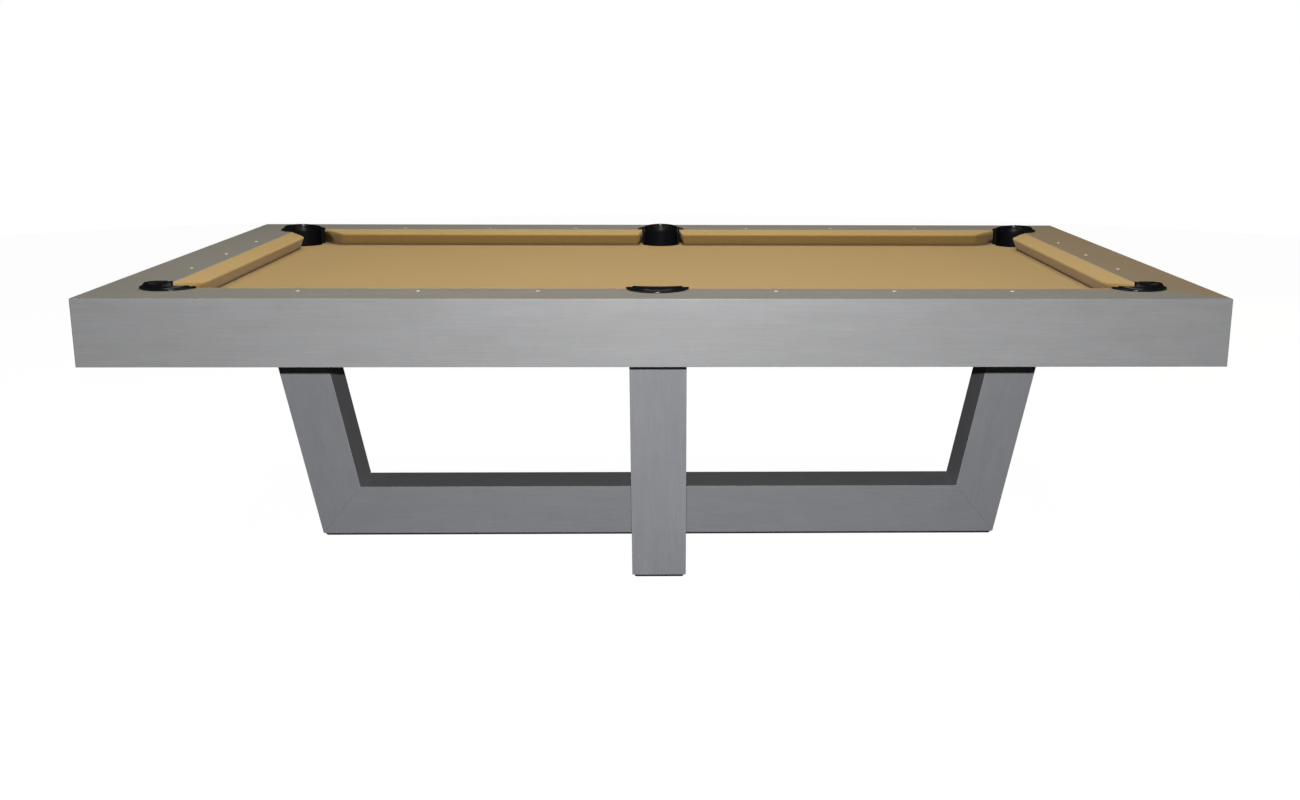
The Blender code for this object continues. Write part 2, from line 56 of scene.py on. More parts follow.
BED_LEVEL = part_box("bed_cloth")[1].z
SLATE_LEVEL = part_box("slate_centre")[1].z
SLATE_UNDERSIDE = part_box("slate_centre")[0].z
SLATE_REACH = Vector((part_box("slate_right")[1].x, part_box("slate_right")[1].y))
NOSE_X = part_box("cushion_cloth_right")[0].x
NOSE_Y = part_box("cushion_cloth_back_left")[0].y
JOINT_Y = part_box("cushion_cloth_back_left")[1].y
HALF_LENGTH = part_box("apron_right")[1].x
HALF_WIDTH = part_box("apron_back")[1].y
APRON_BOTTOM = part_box("apron_front")[0].z
APRON_INNER_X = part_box("apron_right")[0].x
CUSHION_WIDTH = JOINT_Y - NOSE_Y
RAIL_RISE = RAIL_TOP - BED_LEVEL

# Cushions, as the CAD has them, with a rounded nose and rounded ends
NOSE_DROP = 0.010
CUSHION_UNDERCUT = 0.015
SHOULDER_RISE = 0.003
NOSE_RADIUS = 0.0045
PAINTED_SHADE_START = 0.0115           # rail top to where the painted shade on the cloth below the nose begins
PAINTED_SHADE_FULL = 0.0155
FACING_ROUND = 0.0035
SIDE_DRAFT = 0.34              # how far a facing is cut back below the nose, per height
CORNER_DRAFT = 0.60
SIDE_MOUTH = 0.140
SIDE_FACING = math.radians(100)
CORNER_MOUTH_INSET = 0.0955
CORNER_FACING = math.radians(142)
TUCK = 0.0016                 # how far the cloth rolls down into its groove in the rail
CLOTH_THICKNESS = 0.001
COVER_GAP = 0.0003

# Pockets, as the CAD has them
CUP_RADIUS = 0.053
CUP_OUTER = 0.0565
CUP_DEPTH = 0.150
CUP_EDGE = 0.014
CUP_WALL = 0.0035
NOTCH_RADIUS = 0.0571
CORNER_FLANGE = 0.0690
SIDE_FLANGE = 0.075
FLANGE_LIFT = 0.0003
FLANGE_THICKNESS = 0.004
CREST_WIDTH = 0.0066
LIP_FOOT = 0.0130             # inside of the cup to where the lip meets the flange
CREST_RISE = 0.0138
JAW_RISE = 0.0072
EAR_THICKNESS = 0.003
EAR_GAP = 0.0005
TAIL_DEPTH = 0.0105           # how far a corner flange's tail runs back along the rail
SILL_DROP = 0.0035
DROP_RADIUS = 0.005           # slate's worked edge at a pocket, under the cloth
CLOTH_TURN = math.radians(56)  # how far the bed cloth follows that edge down

# Trim and hardware
ARRIS = 0.0024                # round of the table's outer top edge and corners
EASED = 0.0010                # round of every other free wooden edge
SIGHT_RADIUS = 0.0048
SIGHT_SETBACK = 0.09366       # nose line to the centres of the sights
SIGHT_DOME = 0.0009
BOLT_SETBACK = 0.092          # nose line to the rail bolts
BOLT_HEAD = 0.0098
BOLT_HEIGHT = 0.0090
THREAD_PITCH = 0.00175
THREAD_DEPTH = 0.0009
PAD_RADIUS = 0.025
PAD_FACE = 0.0005
PAD_TOP = 0.0085
BOSS_RADIUS = 0.010
BOSS_TOP = 0.0145
STUD_RADIUS = 0.006
STUD_TOP = 0.0725
HEX_RADIUS = 0.0095
HEX_BASE = 0.0148
HEX_HEIGHT = 0.007

UP = Vector((0, 0, 1))
SIDES = {
    "front": (Vector((0, -1, 0)), NOSE_Y, NOSE_X),
    "back": (Vector((0, 1, 0)), NOSE_Y, NOSE_X),
    "left": (Vector((-1, 0, 0)), NOSE_X, NOSE_Y),
    "right": (Vector((1, 0, 0)), NOSE_X, NOSE_Y),
}
RAIL_WIDTH = HALF_WIDTH - NOSE_Y


# Camera, light and floor
def placed(name, data):
    thing = bpy.data.objects.new(name, data)
    bpy.context.scene.collection.objects.link(thing)
    return thing


def make_camera():
    """Stands in front of the table, a little left of centre in its turn, and looks down."""
    data = bpy.data.cameras.new("camera")
    data.sensor_width = 36.0
    data.lens = 37.22
    data.shift_x = -0.0398
    data.shift_y = -0.0136
    camera = placed("camera", data)
    camera.location = (0.0298, -3.7762, 1.3070)
    yaw, pitch, roll = 0.02415, 0.22615, 0.00446
    look = Matrix.Rotation(-yaw, 4, "Z") @ Matrix.Rotation(math.pi / 2 - pitch, 4, "X")
    turn = look @ Matrix.Rotation(roll, 4, "Z")
    camera.rotation_euler = turn.to_euler()
    bpy.context.scene.camera = camera


def softbox(name, location, target, size, power, colour=(1, 1, 1)):
    """A rectangular lamp that looks from its location at its target."""
    data = bpy.data.lights.new(name, "AREA")
    data.shape = "RECTANGLE"
    data.size, data.size_y = size
    data.energy = power
    data.color = colour
    light = placed(name, data)
    light.location = location
    aim = Vector(target) - Vector(location)
    light.rotation_euler = aim.to_track_quat("-Z", "Y").to_euler()
    return light


def glow(name, strength):
    material = bpy.data.materials.new(name)
    material.use_nodes = True
    tree = material.node_tree
    tree.nodes.clear()
    output = tree.nodes.new("ShaderNodeOutputMaterial")
    emission = tree.nodes.new("ShaderNodeEmission")
    emission.inputs["Strength"].default_value = strength
    tree.links.new(emission.outputs["Emission"], output.inputs["Surface"])
    return material


def make_studio():
    """A pale floor and a white backdrop, a small strong lamp like a flash, and soft ones above."""
    scene = bpy.context.scene
    scene.view_settings.view_transform = "Standard"
    world = bpy.data.worlds.new("studio")
    scene.world = world
    world.use_nodes = True
    background = world.node_tree.nodes["Background"]
    background.inputs["Color"].default_value = (0.96, 0.98, 1.0, 1)
    background.inputs["Strength"].default_value = 0.015

    floor = disc("floor", 9.0, -0.0004)             # glows, so that it reads as white
    pale = shader("pale_floor", (0.06, 0.06, 0.06), 0.9)
    pale.surface.inputs["Emission Color"].default_value = (1, 1, 1, 1)
    pale.surface.inputs["Emission Strength"].default_value = 0.975
    floor.data.materials.append(pale.material)
    bounce = disc("floor_bounce", 9.0, -0.0016)     # lights the underside faintly
    bounce.data.materials.append(shader("floor_bounce", (0.02, 0.02, 0.02), 0.9).material)
    bounce.visible_camera = False
    backdrop = dome("backdrop", 40.0)
    backdrop.data.materials.append(glow("white", 1.0))
    for stage in (floor, backdrop):
        stage.visible_diffuse = False
        stage.visible_glossy = False
        stage.visible_transmission = False
        stage.visible_shadow = False

    softbox("key", (0.03, -3.80, 1.395), (0, -0.5, 0.55), (0.045, 0.02), 129)
    room = softbox("overhead", (0, 0.1, 3.4), (0, 0, 0.8), (3.4, 2.0), 100, (1.0, 0.95, 0.82))
    wall = softbox("warm_wall", (4.6, 3.2, 1.5), (0.9, 0, 0.8), (2.6, 1.6), 30, (1.0, 0.74, 0.46))
    for lamp in (room, wall):
        lamp.visible_glossy = False
    for name, size, power in (("ceiling_strip", (3.4, 1.0), 21), ("ceiling_lamp", (0.24, 0.6), 4)):
        lamp = softbox(name, (0, -0.5, 3.3), (0, -0.5, 0), size, power, (0.94, 0.97, 1.0))
        lamp.visible_diffuse = False


def disc(name, radius, height):
    form = bmesh.new()
    bmesh.ops.create_circle(form, cap_ends=True, segments=96, radius=radius)
    bmesh.ops.translate(form, vec=UP * height, verts=form.verts)
    return linked(name, form)


def dome(name, radius):
    """A sphere that is seen from inside."""
    form = bmesh.new()
    bmesh.ops.create_uvsphere(form, u_segments=48, v_segments=24, radius=radius)
    bmesh.ops.reverse_faces(form, faces=form.faces)
    return linked(name, form)


# Building pieces
def linked(name, form):
    mesh = bpy.data.meshes.new(name)
    form.to_mesh(mesh)
    form.free()
    return placed(name, mesh)


def finished(piece, look, body="root", smooth=35):
    """Gives a piece its material, its smoothing and the body it rides on."""
    for material in look if isinstance(look, (list, tuple)) else [look]:
        piece.data.materials.append(material)
    piece.data.shade_smooth()
    piece.data.set_sharp_from_angle(angle=math.radians(smooth))
    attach(piece, body)
    return piece


def keep_flats_flat(piece):
    """Weights the normals by area, so a wide face stays flat beside its rounded edge."""
    weighted = piece.modifiers.new("flat_faces", "WEIGHTED_NORMAL")
    weighted.keep_sharp = True
    weighted.weight = 100


def polar(radius, angle, height=0.0):
    return Vector((radius * math.cos(angle), radius * math.sin(angle), height))


def skin(form, rows, closed=True):
    """Faces between each row of vertices and the next."""
    for one, other in zip(rows, rows[1:]):
        for i in range(len(one) if closed else len(one) - 1):
            j = (i + 1) % len(one)
            form.faces.new((one[i], one[j], other[j], other[i]))


def bevel(form, edges, radius, steps=2):
    return bmesh.ops.bevel(form, geom=edges, offset=radius, segments=steps, profile=0.5,
                           affect="EDGES", clamp_overlap=True)


def cad_form(node):
    """The CAD node's solid with its triangles merged back into flat faces."""
    form = bmesh.new()
    form.from_mesh(frame["nodes"][node].data)
    bmesh.ops.remove_doubles(form, verts=form.verts, dist=0.00001)
    bmesh.ops.dissolve_limit(form, angle_limit=math.radians(0.5), verts=form.verts,
                             edges=form.edges)
    return form


def saw(form, point, normal):
    everything = form.verts[:] + form.edges[:] + form.faces[:]
    bmesh.ops.bisect_plane(form, geom=everything, plane_co=point, plane_no=normal,
                           clear_outer=True, dist=1e-7)
    rim = [edge for edge in form.edges if edge.is_boundary]
    if rim:
        bmesh.ops.holes_fill(form, edges=rim, sides=0)


def round_over(form, edge_point, one, other, radius, steps=5):
    """Saws the flats of a rounded arris between two faces with these outward normals."""
    centre = edge_point - (one + other) * radius / (1 + one.dot(other))
    for i in range(steps):
        normal = one.slerp(other, (i + 0.5) / steps)
        saw(form, centre + normal * radius, normal)


def ease(form, radius, chosen, steps=2, mark=0):
    """Rounds the chosen edges. The new faces take material number mark."""
    edges = [edge for edge in form.edges if chosen(edge)]
    if edges:
        for face in bevel(form, edges, radius, steps)["faces"]:
            face.material_index = mark


def is_convex(edge, least=20):
    if len(edge.link_faces) != 2:
        return False
    return edge.calc_face_angle_signed(0) > math.radians(least)


# Materials
class shader:
    """A material with a Principled surface, and short ways to add nodes to it."""

    def __init__(self, name, colour, roughness, metallic=0.0):
        self.material = bpy.data.materials.new(name)
        self.material.use_nodes = True
        self.tree = self.material.node_tree
        self.surface = self.tree.nodes["Principled BSDF"]
        self.set("Base Color", (*colour, 1))
        self.set("Roughness", roughness)
        self.set("Metallic", metallic)
        self.material.diffuse_color = (*colour, 1)

    def set(self, socket, value):
        self.surface.inputs[socket].default_value = value

    def feed(self, socket, value):
        if isinstance(value, bpy.types.NodeSocket):
            self.tree.links.new(value, socket)
        else:
            socket.default_value = value

    def node(self, kind, **links):
        """Adds a node. A link's value is another node's output or a plain number."""
        made = self.tree.nodes.new("ShaderNode" + kind)
        for name, value in links.items():
            self.feed(made.inputs[name.replace("_", " ")], value)
        return made

    def place(self, scale=(1, 1, 1), turn=(0, 0, 0)):
        """Object coordinates, turned and then scaled."""
        source = self.node("TexCoord").outputs["Object"]
        turned = self.node("Mapping", Vector=source, Rotation=turn).outputs["Vector"]
        return self.node("Mapping", Vector=turned, Scale=scale).outputs["Vector"]

    def noise(self, vector, scale, detail=4.0, roughness=0.55, distortion=0.0):
        made = self.node("TexNoise", Vector=vector, Scale=scale, Detail=detail,
                         Roughness=roughness, Distortion=distortion)
        return made.outputs["Fac"]

    def span(self, value, low, high, start=0.0, stop=1.0):
        """Maps a value from start..stop to low..high."""
        made = self.node("MapRange", Value=value)
        for name, number in zip(("From Min", "From Max", "To Min", "To Max"),
                                (start, stop, low, high)):
            made.inputs[name].default_value = number
        return made.outputs["Result"]

    def sum(self, one, other, operation="ADD"):
        made = self.tree.nodes.new("ShaderNodeMath")
        made.operation = operation
        for socket, value in zip(made.inputs, (one, other)):
            self.feed(socket, value)
        return made.outputs["Value"]

    def ramp(self, value, *stops):
        """A colour ramp. Each stop is (place, colour), where a plain number is a grey."""
        made = self.node("ValToRGB", Fac=value)
        elements = made.color_ramp.elements
        while len(elements) < len(stops):
            elements.new(0.5)
        for element, (place, colour) in zip(elements, stops):
            element.position = place
            element.color = (*(colour if isinstance(colour, tuple) else (colour,) * 3), 1)
        return made.outputs["Color"]

    def tint(self, one, other, share=1.0):
        """Multiplies one colour by another."""
        made = self.tree.nodes.new("ShaderNodeMix")
        made.data_type = "RGBA"
        made.blend_type = "MULTIPLY"
        self.tree.links.new(one, made.inputs["A"])
        self.tree.links.new(other, made.inputs["B"])
        made.inputs["Factor"].default_value = share
        return made.outputs["Result"]

    def use(self, socket, value):
        self.tree.links.new(value, self.surface.inputs[socket])

    def paint(self, value, *stops):
        self.use("Base Color", self.ramp(value, *stops))

    def dull(self, value, low, high):
        """Roughness from low to high with a value."""
        self.use("Roughness", self.span(value, low, high))

    def relief(self, height, depth, strength=1.0):
        made = self.node("Bump", Height=height, Distance=depth, Strength=strength)
        self.use("Normal", made.outputs["Normal"])


def scaled(colour, factor):
    return tuple(min(1.0, c * factor) for c in colour)


def stained_wood(name, turn, shade=1.0, warmth=(1, 1, 1)):
    """Grey stain over maple, its grain along local X after the turn. Shade and warmth scale its
    colour; for the legs, the feet and the right rail they carry painted light.
    """
    stain = tuple(c * shade * w for c, w in zip((0.268, 0.270, 0.276), warmth))
    look = shader(name, stain, 0.42)
    broad = look.place((0.9, 6.0, 6.0), turn)
    fibres = look.place((9.0, 520.0, 520.0), turn)
    pores = look.place((38.0, 1500.0, 1500.0), turn)
    figure = look.noise(broad, 2.6, 5.0, 0.5, 1.6)
    mottle = look.noise(look.place((5.0, 7.0, 7.0), turn), 3.4, 3.0, 0.6)
    streaks = look.noise(fibres, 1.0, 6.0, 0.62, 0.35)
    fine = look.noise(pores, 1.0, 2.0, 0.5)
    rings = look.node("TexWave", Vector=look.place((1.0, 9.0, 9.0), turn), Scale=1.7,
                      Distortion=7.0, Detail=3.0, Detail_Scale=1.2)
    rings.bands_direction = "Y"
    base = look.ramp(figure, (0.25, scaled(stain, 0.965)), (0.55, stain),
                     (0.80, scaled(stain, 1.03)))
    cloudy = look.ramp(mottle, (0.30, 0.975), (0.70, 1.02))
    lines = look.ramp(rings.outputs["Fac"], (0.0, (0.975, 0.973, 0.97)), (0.45, 1))
    thread = look.ramp(streaks, (0.32, (0.915, 0.915, 0.91)), (0.64, 1.035))
    speck = look.ramp(fine, (0.32, (0.87, 0.86, 0.85)), (0.45, 1))
    for layer, share in ((cloudy, 1.0), (lines, 1.0), (thread, 0.8), (speck, 0.7)):
        base = look.tint(base, layer, share)
    look.use("Base Color", base)
    wear = look.noise(look.place((3, 3, 3)), 4.0, 4.0, 0.6)
    look.use("Roughness", look.sum(look.span(streaks, 0.36, 0.46), look.span(wear, -0.03, 0.05)))
    look.relief(look.sum(look.span(streaks, 0, 0.7), look.span(fine, 0, 0.5)), 0.00012, 0.6)
    look.set("Specular IOR Level", 0.42)
    look.set("Coat Weight", 0.12)
    look.set("Coat Roughness", 0.32)
    return look.material


def worn_edge(name, turn):
    """The same stain rubbed thinner along an arris."""
    look = shader(name, (0.36, 0.355, 0.35), 0.36)
    rub = look.noise(look.place((14.0, 60.0, 60.0), turn), 1.0, 5.0, 0.6)
    look.paint(rub, (0.30, (0.275, 0.276, 0.28)), (0.60, (0.34, 0.338, 0.336)),
               (0.86, (0.43, 0.42, 0.40)))
    look.dull(rub, 0.30, 0.46)
    look.relief(rub, 0.0001, 0.5)
    return look.material


def table_cloth(name, turn=(0, 0, 0), shade=1.0, painted_shade_below_nose=False):
    """Worsted cloth: a fine plain weave, a little fuzz and faint wear, with painted shade below
    the nose when asked.
    """
    dye = scaled((0.395, 0.266, 0.101), shade)
    look = shader(name, dye, 0.88)
    spot = look.place(turn=turn)
    threads = []
    for direction in ("X", "Y"):
        wave = look.node("TexWave", Vector=spot, Scale=340.0, Distortion=1.6, Detail=1.5,
                         Detail_Scale=1.0)
        wave.bands_direction = direction
        threads.append(wave.outputs["Fac"])
    weave = look.sum(threads[0], threads[1], "MULTIPLY")
    fuzz = look.noise(spot, 1600.0, 3.0, 0.7)
    nap = look.noise(look.place((60, 420, 60), turn), 1.0, 4.0, 0.6)
    rub = look.noise(spot, 2.2, 4.0, 0.55)
    colour = look.ramp(nap, (0.25, scaled(dye, 0.955)), (0.75, scaled(dye, 1.035)))
    yarn = look.ramp(weave, (0.0, (0.90, 0.89, 0.87)), (0.5, 1.03))
    hair = look.ramp(fuzz, (0.30, (0.93, 0.925, 0.91)), (0.65, (1.03, 1.03, 1.04)))
    wear = look.ramp(rub, (0.30, (0.975, 0.97, 0.96)), (0.70, 1.02))
    for layer, share in ((yarn, 0.8), (hair, 0.9), (wear, 1.0)):
        colour = look.tint(colour, layer, share)
    # Painted shade: the cushion cloth is darkened by height below the nose, where the nose shades
    # it.
    if painted_shade_below_nose:
        height = look.node("SeparateXYZ", Vector=look.place()).outputs["Z"]
        below = look.span(height, 0.0, 1.0, RAIL_TOP - PAINTED_SHADE_START, RAIL_TOP - PAINTED_SHADE_FULL)
        colour = look.tint(colour, look.ramp(below, (0.0, 1), (1.0, (0.66, 0.65, 0.62))))
    look.use("Base Color", colour)
    look.dull(fuzz, 0.80, 0.95)
    look.relief(look.sum(look.span(weave, 0, 0.6), look.span(fuzz, 0, 0.5)), 0.00025, 0.7)
    look.set("Specular IOR Level", 0.18)
    look.set("Sheen Weight", 0.22)
    look.set("Sheen Roughness", 0.45)
    look.set("Sheen Tint", (0.95, 0.80, 0.58, 1))
    return look.material


def pocket_moulding():
    """Glossy black moulding with a faint ripple, handling marks and dust."""
    look = shader("pocket_moulding", (0.006, 0.006, 0.007), 0.16)
    ripple = look.noise(look.place(), 55.0, 3.0, 0.5)
    grit = look.noise(look.place(), 900.0, 2.0, 0.6)
    scuffs = look.noise(look.place((30, 90, 240)), 1.0, 5.0, 0.7, 0.8)
    look.paint(scuffs, (0.40, (0.0045, 0.0045, 0.0055)), (0.72, (0.008, 0.008, 0.0092)),
               (0.90, (0.020, 0.020, 0.022)))
    rough = look.sum(look.span(scuffs, 0.09, 0.24, 0.3, 0.8), look.span(grit, -0.02, 0.03))
    height = look.node("SeparateXYZ", Vector=look.place()).outputs["Z"]
    deep = look.span(height, 0.0, 1.0, RAIL_TOP + 0.004, RAIL_TOP - 0.012)
    look.use("Roughness", look.sum(rough, look.sum(deep, 0.34, "MULTIPLY")))
    look.use("Specular IOR Level", look.span(deep, 0.50, 0.03))
    look.relief(look.sum(look.span(ripple, 0, 1.0), look.span(grit, 0, 0.10)), 0.00018, 0.4)
    return look.material


def soft_black(name, roughness, grain, shade=1.0, shine=0.5):
    look = shader(name, scaled((0.020, 0.020, 0.022), shade), roughness)
    speckle = look.noise(look.place(), grain, 4.0, 0.6)
    dust = look.noise(look.place(), 14.0, 5.0, 0.6)
    look.paint(dust, (0.35, scaled((0.016, 0.016, 0.018), shade)),
               (0.75, scaled((0.040, 0.039, 0.038), shade)))
    look.dull(speckle, roughness - 0.08, roughness + 0.12)
    look.relief(speckle, 0.0002, 0.5)
    look.set("Specular IOR Level", shine)
    return look.material


def gum_rubber():
    look = shader("gum_rubber", (0.33, 0.20, 0.12), 0.8)
    cloud = look.noise(look.place((4, 4, 4)), 6.0, 5.0, 0.6)
    look.paint(cloud, (0.3, (0.28, 0.165, 0.10)), (0.7, (0.37, 0.235, 0.145)))
    look.dull(cloud, 0.72, 0.88)
    look.relief(look.noise(look.place(), 700.0, 3.0), 0.0002, 0.4)
    return look.material


def zinc_steel():
    look = shader("zinc_steel", (0.56, 0.57, 0.59), 0.34, 1.0)
    spangle = look.node("TexVoronoi", Vector=look.place(), Scale=260.0)
    tone = look.noise(look.place(), 30.0, 5.0, 0.6)
    zinc = look.ramp(tone, (0.3, (0.48, 0.49, 0.51)), (0.7, (0.62, 0.63, 0.64)))
    flakes = look.ramp(spangle.outputs["Distance"], (0.0, (0.94, 0.95, 0.97)), (1.0, (1, 1, 0.98)))
    look.use("Base Color", look.tint(zinc, flakes))
    look.dull(tone, 0.26, 0.46)
    look.relief(look.noise(look.place(), 420.0, 3.0), 0.00008, 0.5)
    return look.material


def honed_slate():
    look = shader("honed_slate", (0.115, 0.12, 0.13), 0.72)
    beds = look.noise(look.place((3, 3, 60)), 1.4, 6.0, 0.6, 0.6)
    cleft = look.noise(look.place((12, 12, 30)), 6.0, 6.0, 0.65)
    stone = look.ramp(beds, (0.3, (0.085, 0.09, 0.10)), (0.7, (0.15, 0.155, 0.165)))
    pits = look.ramp(cleft, (0.3, (0.86, 0.86, 0.87)), (0.7, (1.1, 1.1, 1.09)))
    look.use("Base Color", look.tint(stone, pits))
    look.dull(cleft, 0.62, 0.85)
    look.relief(cleft, 0.0004, 0.5)
    return look.material


def raw_timber(name, turn):
    look = shader(name, (0.50, 0.38, 0.24), 0.68)
    rings = look.node("TexWave", Vector=look.place((1.2, 22.0, 22.0), turn), Scale=1.6,
                      Distortion=6.0, Detail=4.0, Detail_Scale=1.4)
    rings.bands_direction = "Y"
    fibres = look.noise(look.place((9, 380, 380), turn), 1.0, 6.0, 0.6)
    cloud = look.noise(look.place((1.4, 7, 7), turn), 2.0, 4.0, 0.5)
    colour = look.ramp(rings.outputs["Fac"], (0.1, (0.40, 0.285, 0.165)),
                       (0.5, (0.52, 0.395, 0.25)), (0.9, (0.57, 0.45, 0.30)))
    grain = look.ramp(fibres, (0.3, (0.84, 0.82, 0.79)), (0.65, (1.04, 1.04, 1.03)))
    blotch = look.ramp(cloud, (0.3, (0.90, 0.93, 0.88)), (0.7, (1.05, 1.03, 1.02)))
    look.use("Base Color", look.tint(look.tint(colour, grain, 0.9), blotch))
    look.dull(fibres, 0.60, 0.78)
    look.relief(fibres, 0.0003, 0.6)
    return look.material


def pearl():
    look = shader("sight_pearl", (0.62, 0.61, 0.57), 0.28)
    swirl = look.noise(look.place(), 420.0, 4.0, 0.6, 2.0)
    look.paint(swirl, (0.3, (0.74, 0.73, 0.70)), (0.5, (0.86, 0.84, 0.80)),
               (0.75, (0.90, 0.91, 0.92)))
    look.dull(swirl, 0.18, 0.36)
    look.relief(swirl, 0.00006, 0.4)
    look.set("Coat Weight", 0.5)
    look.set("Coat Roughness", 0.12)
    return look.material


# Wooden pieces
WOOD_NODES = [name for name in frame["nodes"]
              if name.startswith(("rail_", "apron_", "foot_beam_")) or
              (name.startswith("leg_") and not name.startswith("leg_plate"))]
ALONG_X, ALONG_Y = (0, 0, 0), (0, 0, math.pi / 2)
LEG_SPLAY = math.radians(11.4)


def trees_of(names):
    trees = {}
    for name in names:
        form = bmesh.new()
        form.from_mesh(frame["nodes"][name].data)
        trees[name] = BVHTree.FromBMesh(form)
        form.free()
    return trees


def free_edge_test(trees, name, reach=0.0009):
    """True for a sharp outer edge that doesn't lie along a joint with another board."""
    others = [tree for other, tree in trees.items() if other != name]

    def chosen(edge):
        if not is_convex(edge):
            return False
        middle = (edge.verts[0].co + edge.verts[1].co) / 2
        return not any(tree.find_nearest(middle, reach)[0] for tree in others)
    return chosen


def outer_arrises(form, name):
    """Rounds the table's outer top edge, its upright corners and its lower edge."""
    side = name.split("_")[1]
    out = SIDES[side][0]
    reach = HALF_WIDTH if abs(out.y) > 0.5 else HALF_LENGTH
    round_over(form, out * reach + UP * RAIL_TOP, UP, out, ARRIS)
    ends = [(end, HALF_LENGTH if abs(end.x) > 0.5 else HALF_WIDTH)
            for end in (-UP.cross(out), UP.cross(out))]
    for end, corner_reach in ends:
        round_over(form, out * reach + end * corner_reach, out, end, ARRIS)
        round_over(form, end * corner_reach + UP * RAIL_TOP, UP, end, ARRIS)
    if name.startswith("apron"):
        for end, corner_reach in ends:
            round_over(form, end * corner_reach + UP * APRON_BOTTOM, -UP, end, EASED)
        round_over(form, out * reach + UP * APRON_BOTTOM, -UP, out, EASED)


def grain_of(name):
    """The turn that lays the grain along the board."""
    turns = {
        "leg_left": (0, math.pi / 2 + LEG_SPLAY, 0),
        "leg_right": (0, math.pi / 2 - LEG_SPLAY, 0),
        "leg_front": (-LEG_SPLAY, math.pi / 2, 0),
        "leg_back": (LEG_SPLAY, math.pi / 2, 0),
    }
    if name in turns:
        return turns[name]
    if name in ("foot_beam_cross", "rail_left", "rail_right", "apron_left", "apron_right"):
        return ALONG_Y
    return ALONG_X


def make_wood():
    trees = trees_of(WOOD_NODES)
    edge_look = worn_edge("worn_stain", ALONG_X)
    for name in WOOD_NODES:
        form = cad_form(name)
        if name.startswith(("rail_", "apron_")):
            outer_arrises(form, name)
        ease(form, EASED, free_edge_test(trees, name), 3, 1)
        shade, warmth = 1.0, (1, 1, 1)
        if name.startswith("rail"):
            shade, warmth = 0.97, (1.03, 1.0, 0.93)
        # Painted reflection: the right rail is tinted much warmer and browner, for the warm room
        # light its top reflects.
        if name == "rail_right":
            warmth = (1.17, 0.91, 0.62)
        # Legs and feet get a cooler tint. Painted light: the front leg is painted lighter, and the
        # other legs and the feet darker, standing in for a steeper falloff of the key lamp.
        if name.startswith(("leg", "foot")):
            warmth = (0.985, 1.0, 1.055)
            shade = 1.06 if name == "leg_front" else 0.95
        # The stain_ materials of the legs, the feet and the right rail hold painted light in their
        # colour.
        wood = stained_wood("stain_" + name, grain_of(name), shade, warmth)
        piece = finished(linked("wood_" + name, form), (wood, edge_look), smooth=32)
        keep_flats_flat(piece)
        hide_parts(name)


def make_timber():
    """Planed frame beams under the slate, and the plates that take the legs."""
    for name in frame["nodes"]:
        if not name.startswith(("frame_beam", "leg_plate")):
            continue
        form = cad_form(name)
        plate = name.startswith("leg_plate")
        ease(form, 0.0006 if plate else 0.0015, is_convex, 2)
        along = ALONG_X if name in ("frame_beam_front", "frame_beam_back") else ALONG_Y
        look = STEEL if plate else raw_timber("timber_" + name, along)
        piece = finished(linked("dressed_" + name, form), look)
        keep_flats_flat(piece)
        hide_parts(name)


def make_slates():
    """Slates with a worked edge at each pocket; their other edges stay as the CAD has them."""
    centres = [Vector((x, y)) for x, y in POCKETS.values()]

    def at_pocket(edge):
        for vertex in edge.verts:
            near = min((vertex.co.xy - centre).length for centre in centres)
            if abs(vertex.co.z - SLATE_LEVEL) > 0.0001 or near > NOTCH_RADIUS * 1.02:
                return False
        return is_convex(edge, 40)

    for name in ("slate_left", "slate_centre", "slate_right"):
        form = cad_form(name)
        ease(form, DROP_RADIUS, at_pocket, 4)
        piece = finished(linked("honed_" + name, form), SLATE, smooth=40)
        keep_flats_flat(piece)
        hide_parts(name)


# Bed cloth
def notch_line(centre, radius):
    """A pocket's notch in the bed: round towards the table, straight out to the edge."""
    end = 0 if side_pocket(centre) else math.copysign(1, centre.x)
    outward = Vector((end, math.copysign(1, centre.y))).normalized()
    across = Vector((-outward.y, outward.x))
    start = math.atan2(across.y, across.x)
    points = [centre + polar(radius, start + math.pi * i / 40).xy for i in range(41)]
    return [edge_hit(points[0], outward)] + points + [edge_hit(points[-1], outward)]


def edge_hit(point, direction):
    """Where a line in the bed's plane meets the edge of the slate."""
    shares = []
    for place, way, reach in ((point.x, direction.x, SLATE_REACH.x),
                              (point.y, direction.y, SLATE_REACH.y)):
        if abs(way) > 1e-6:
            shares.append((math.copysign(reach, way) - place) / way)
    return point + direction * min(shares)


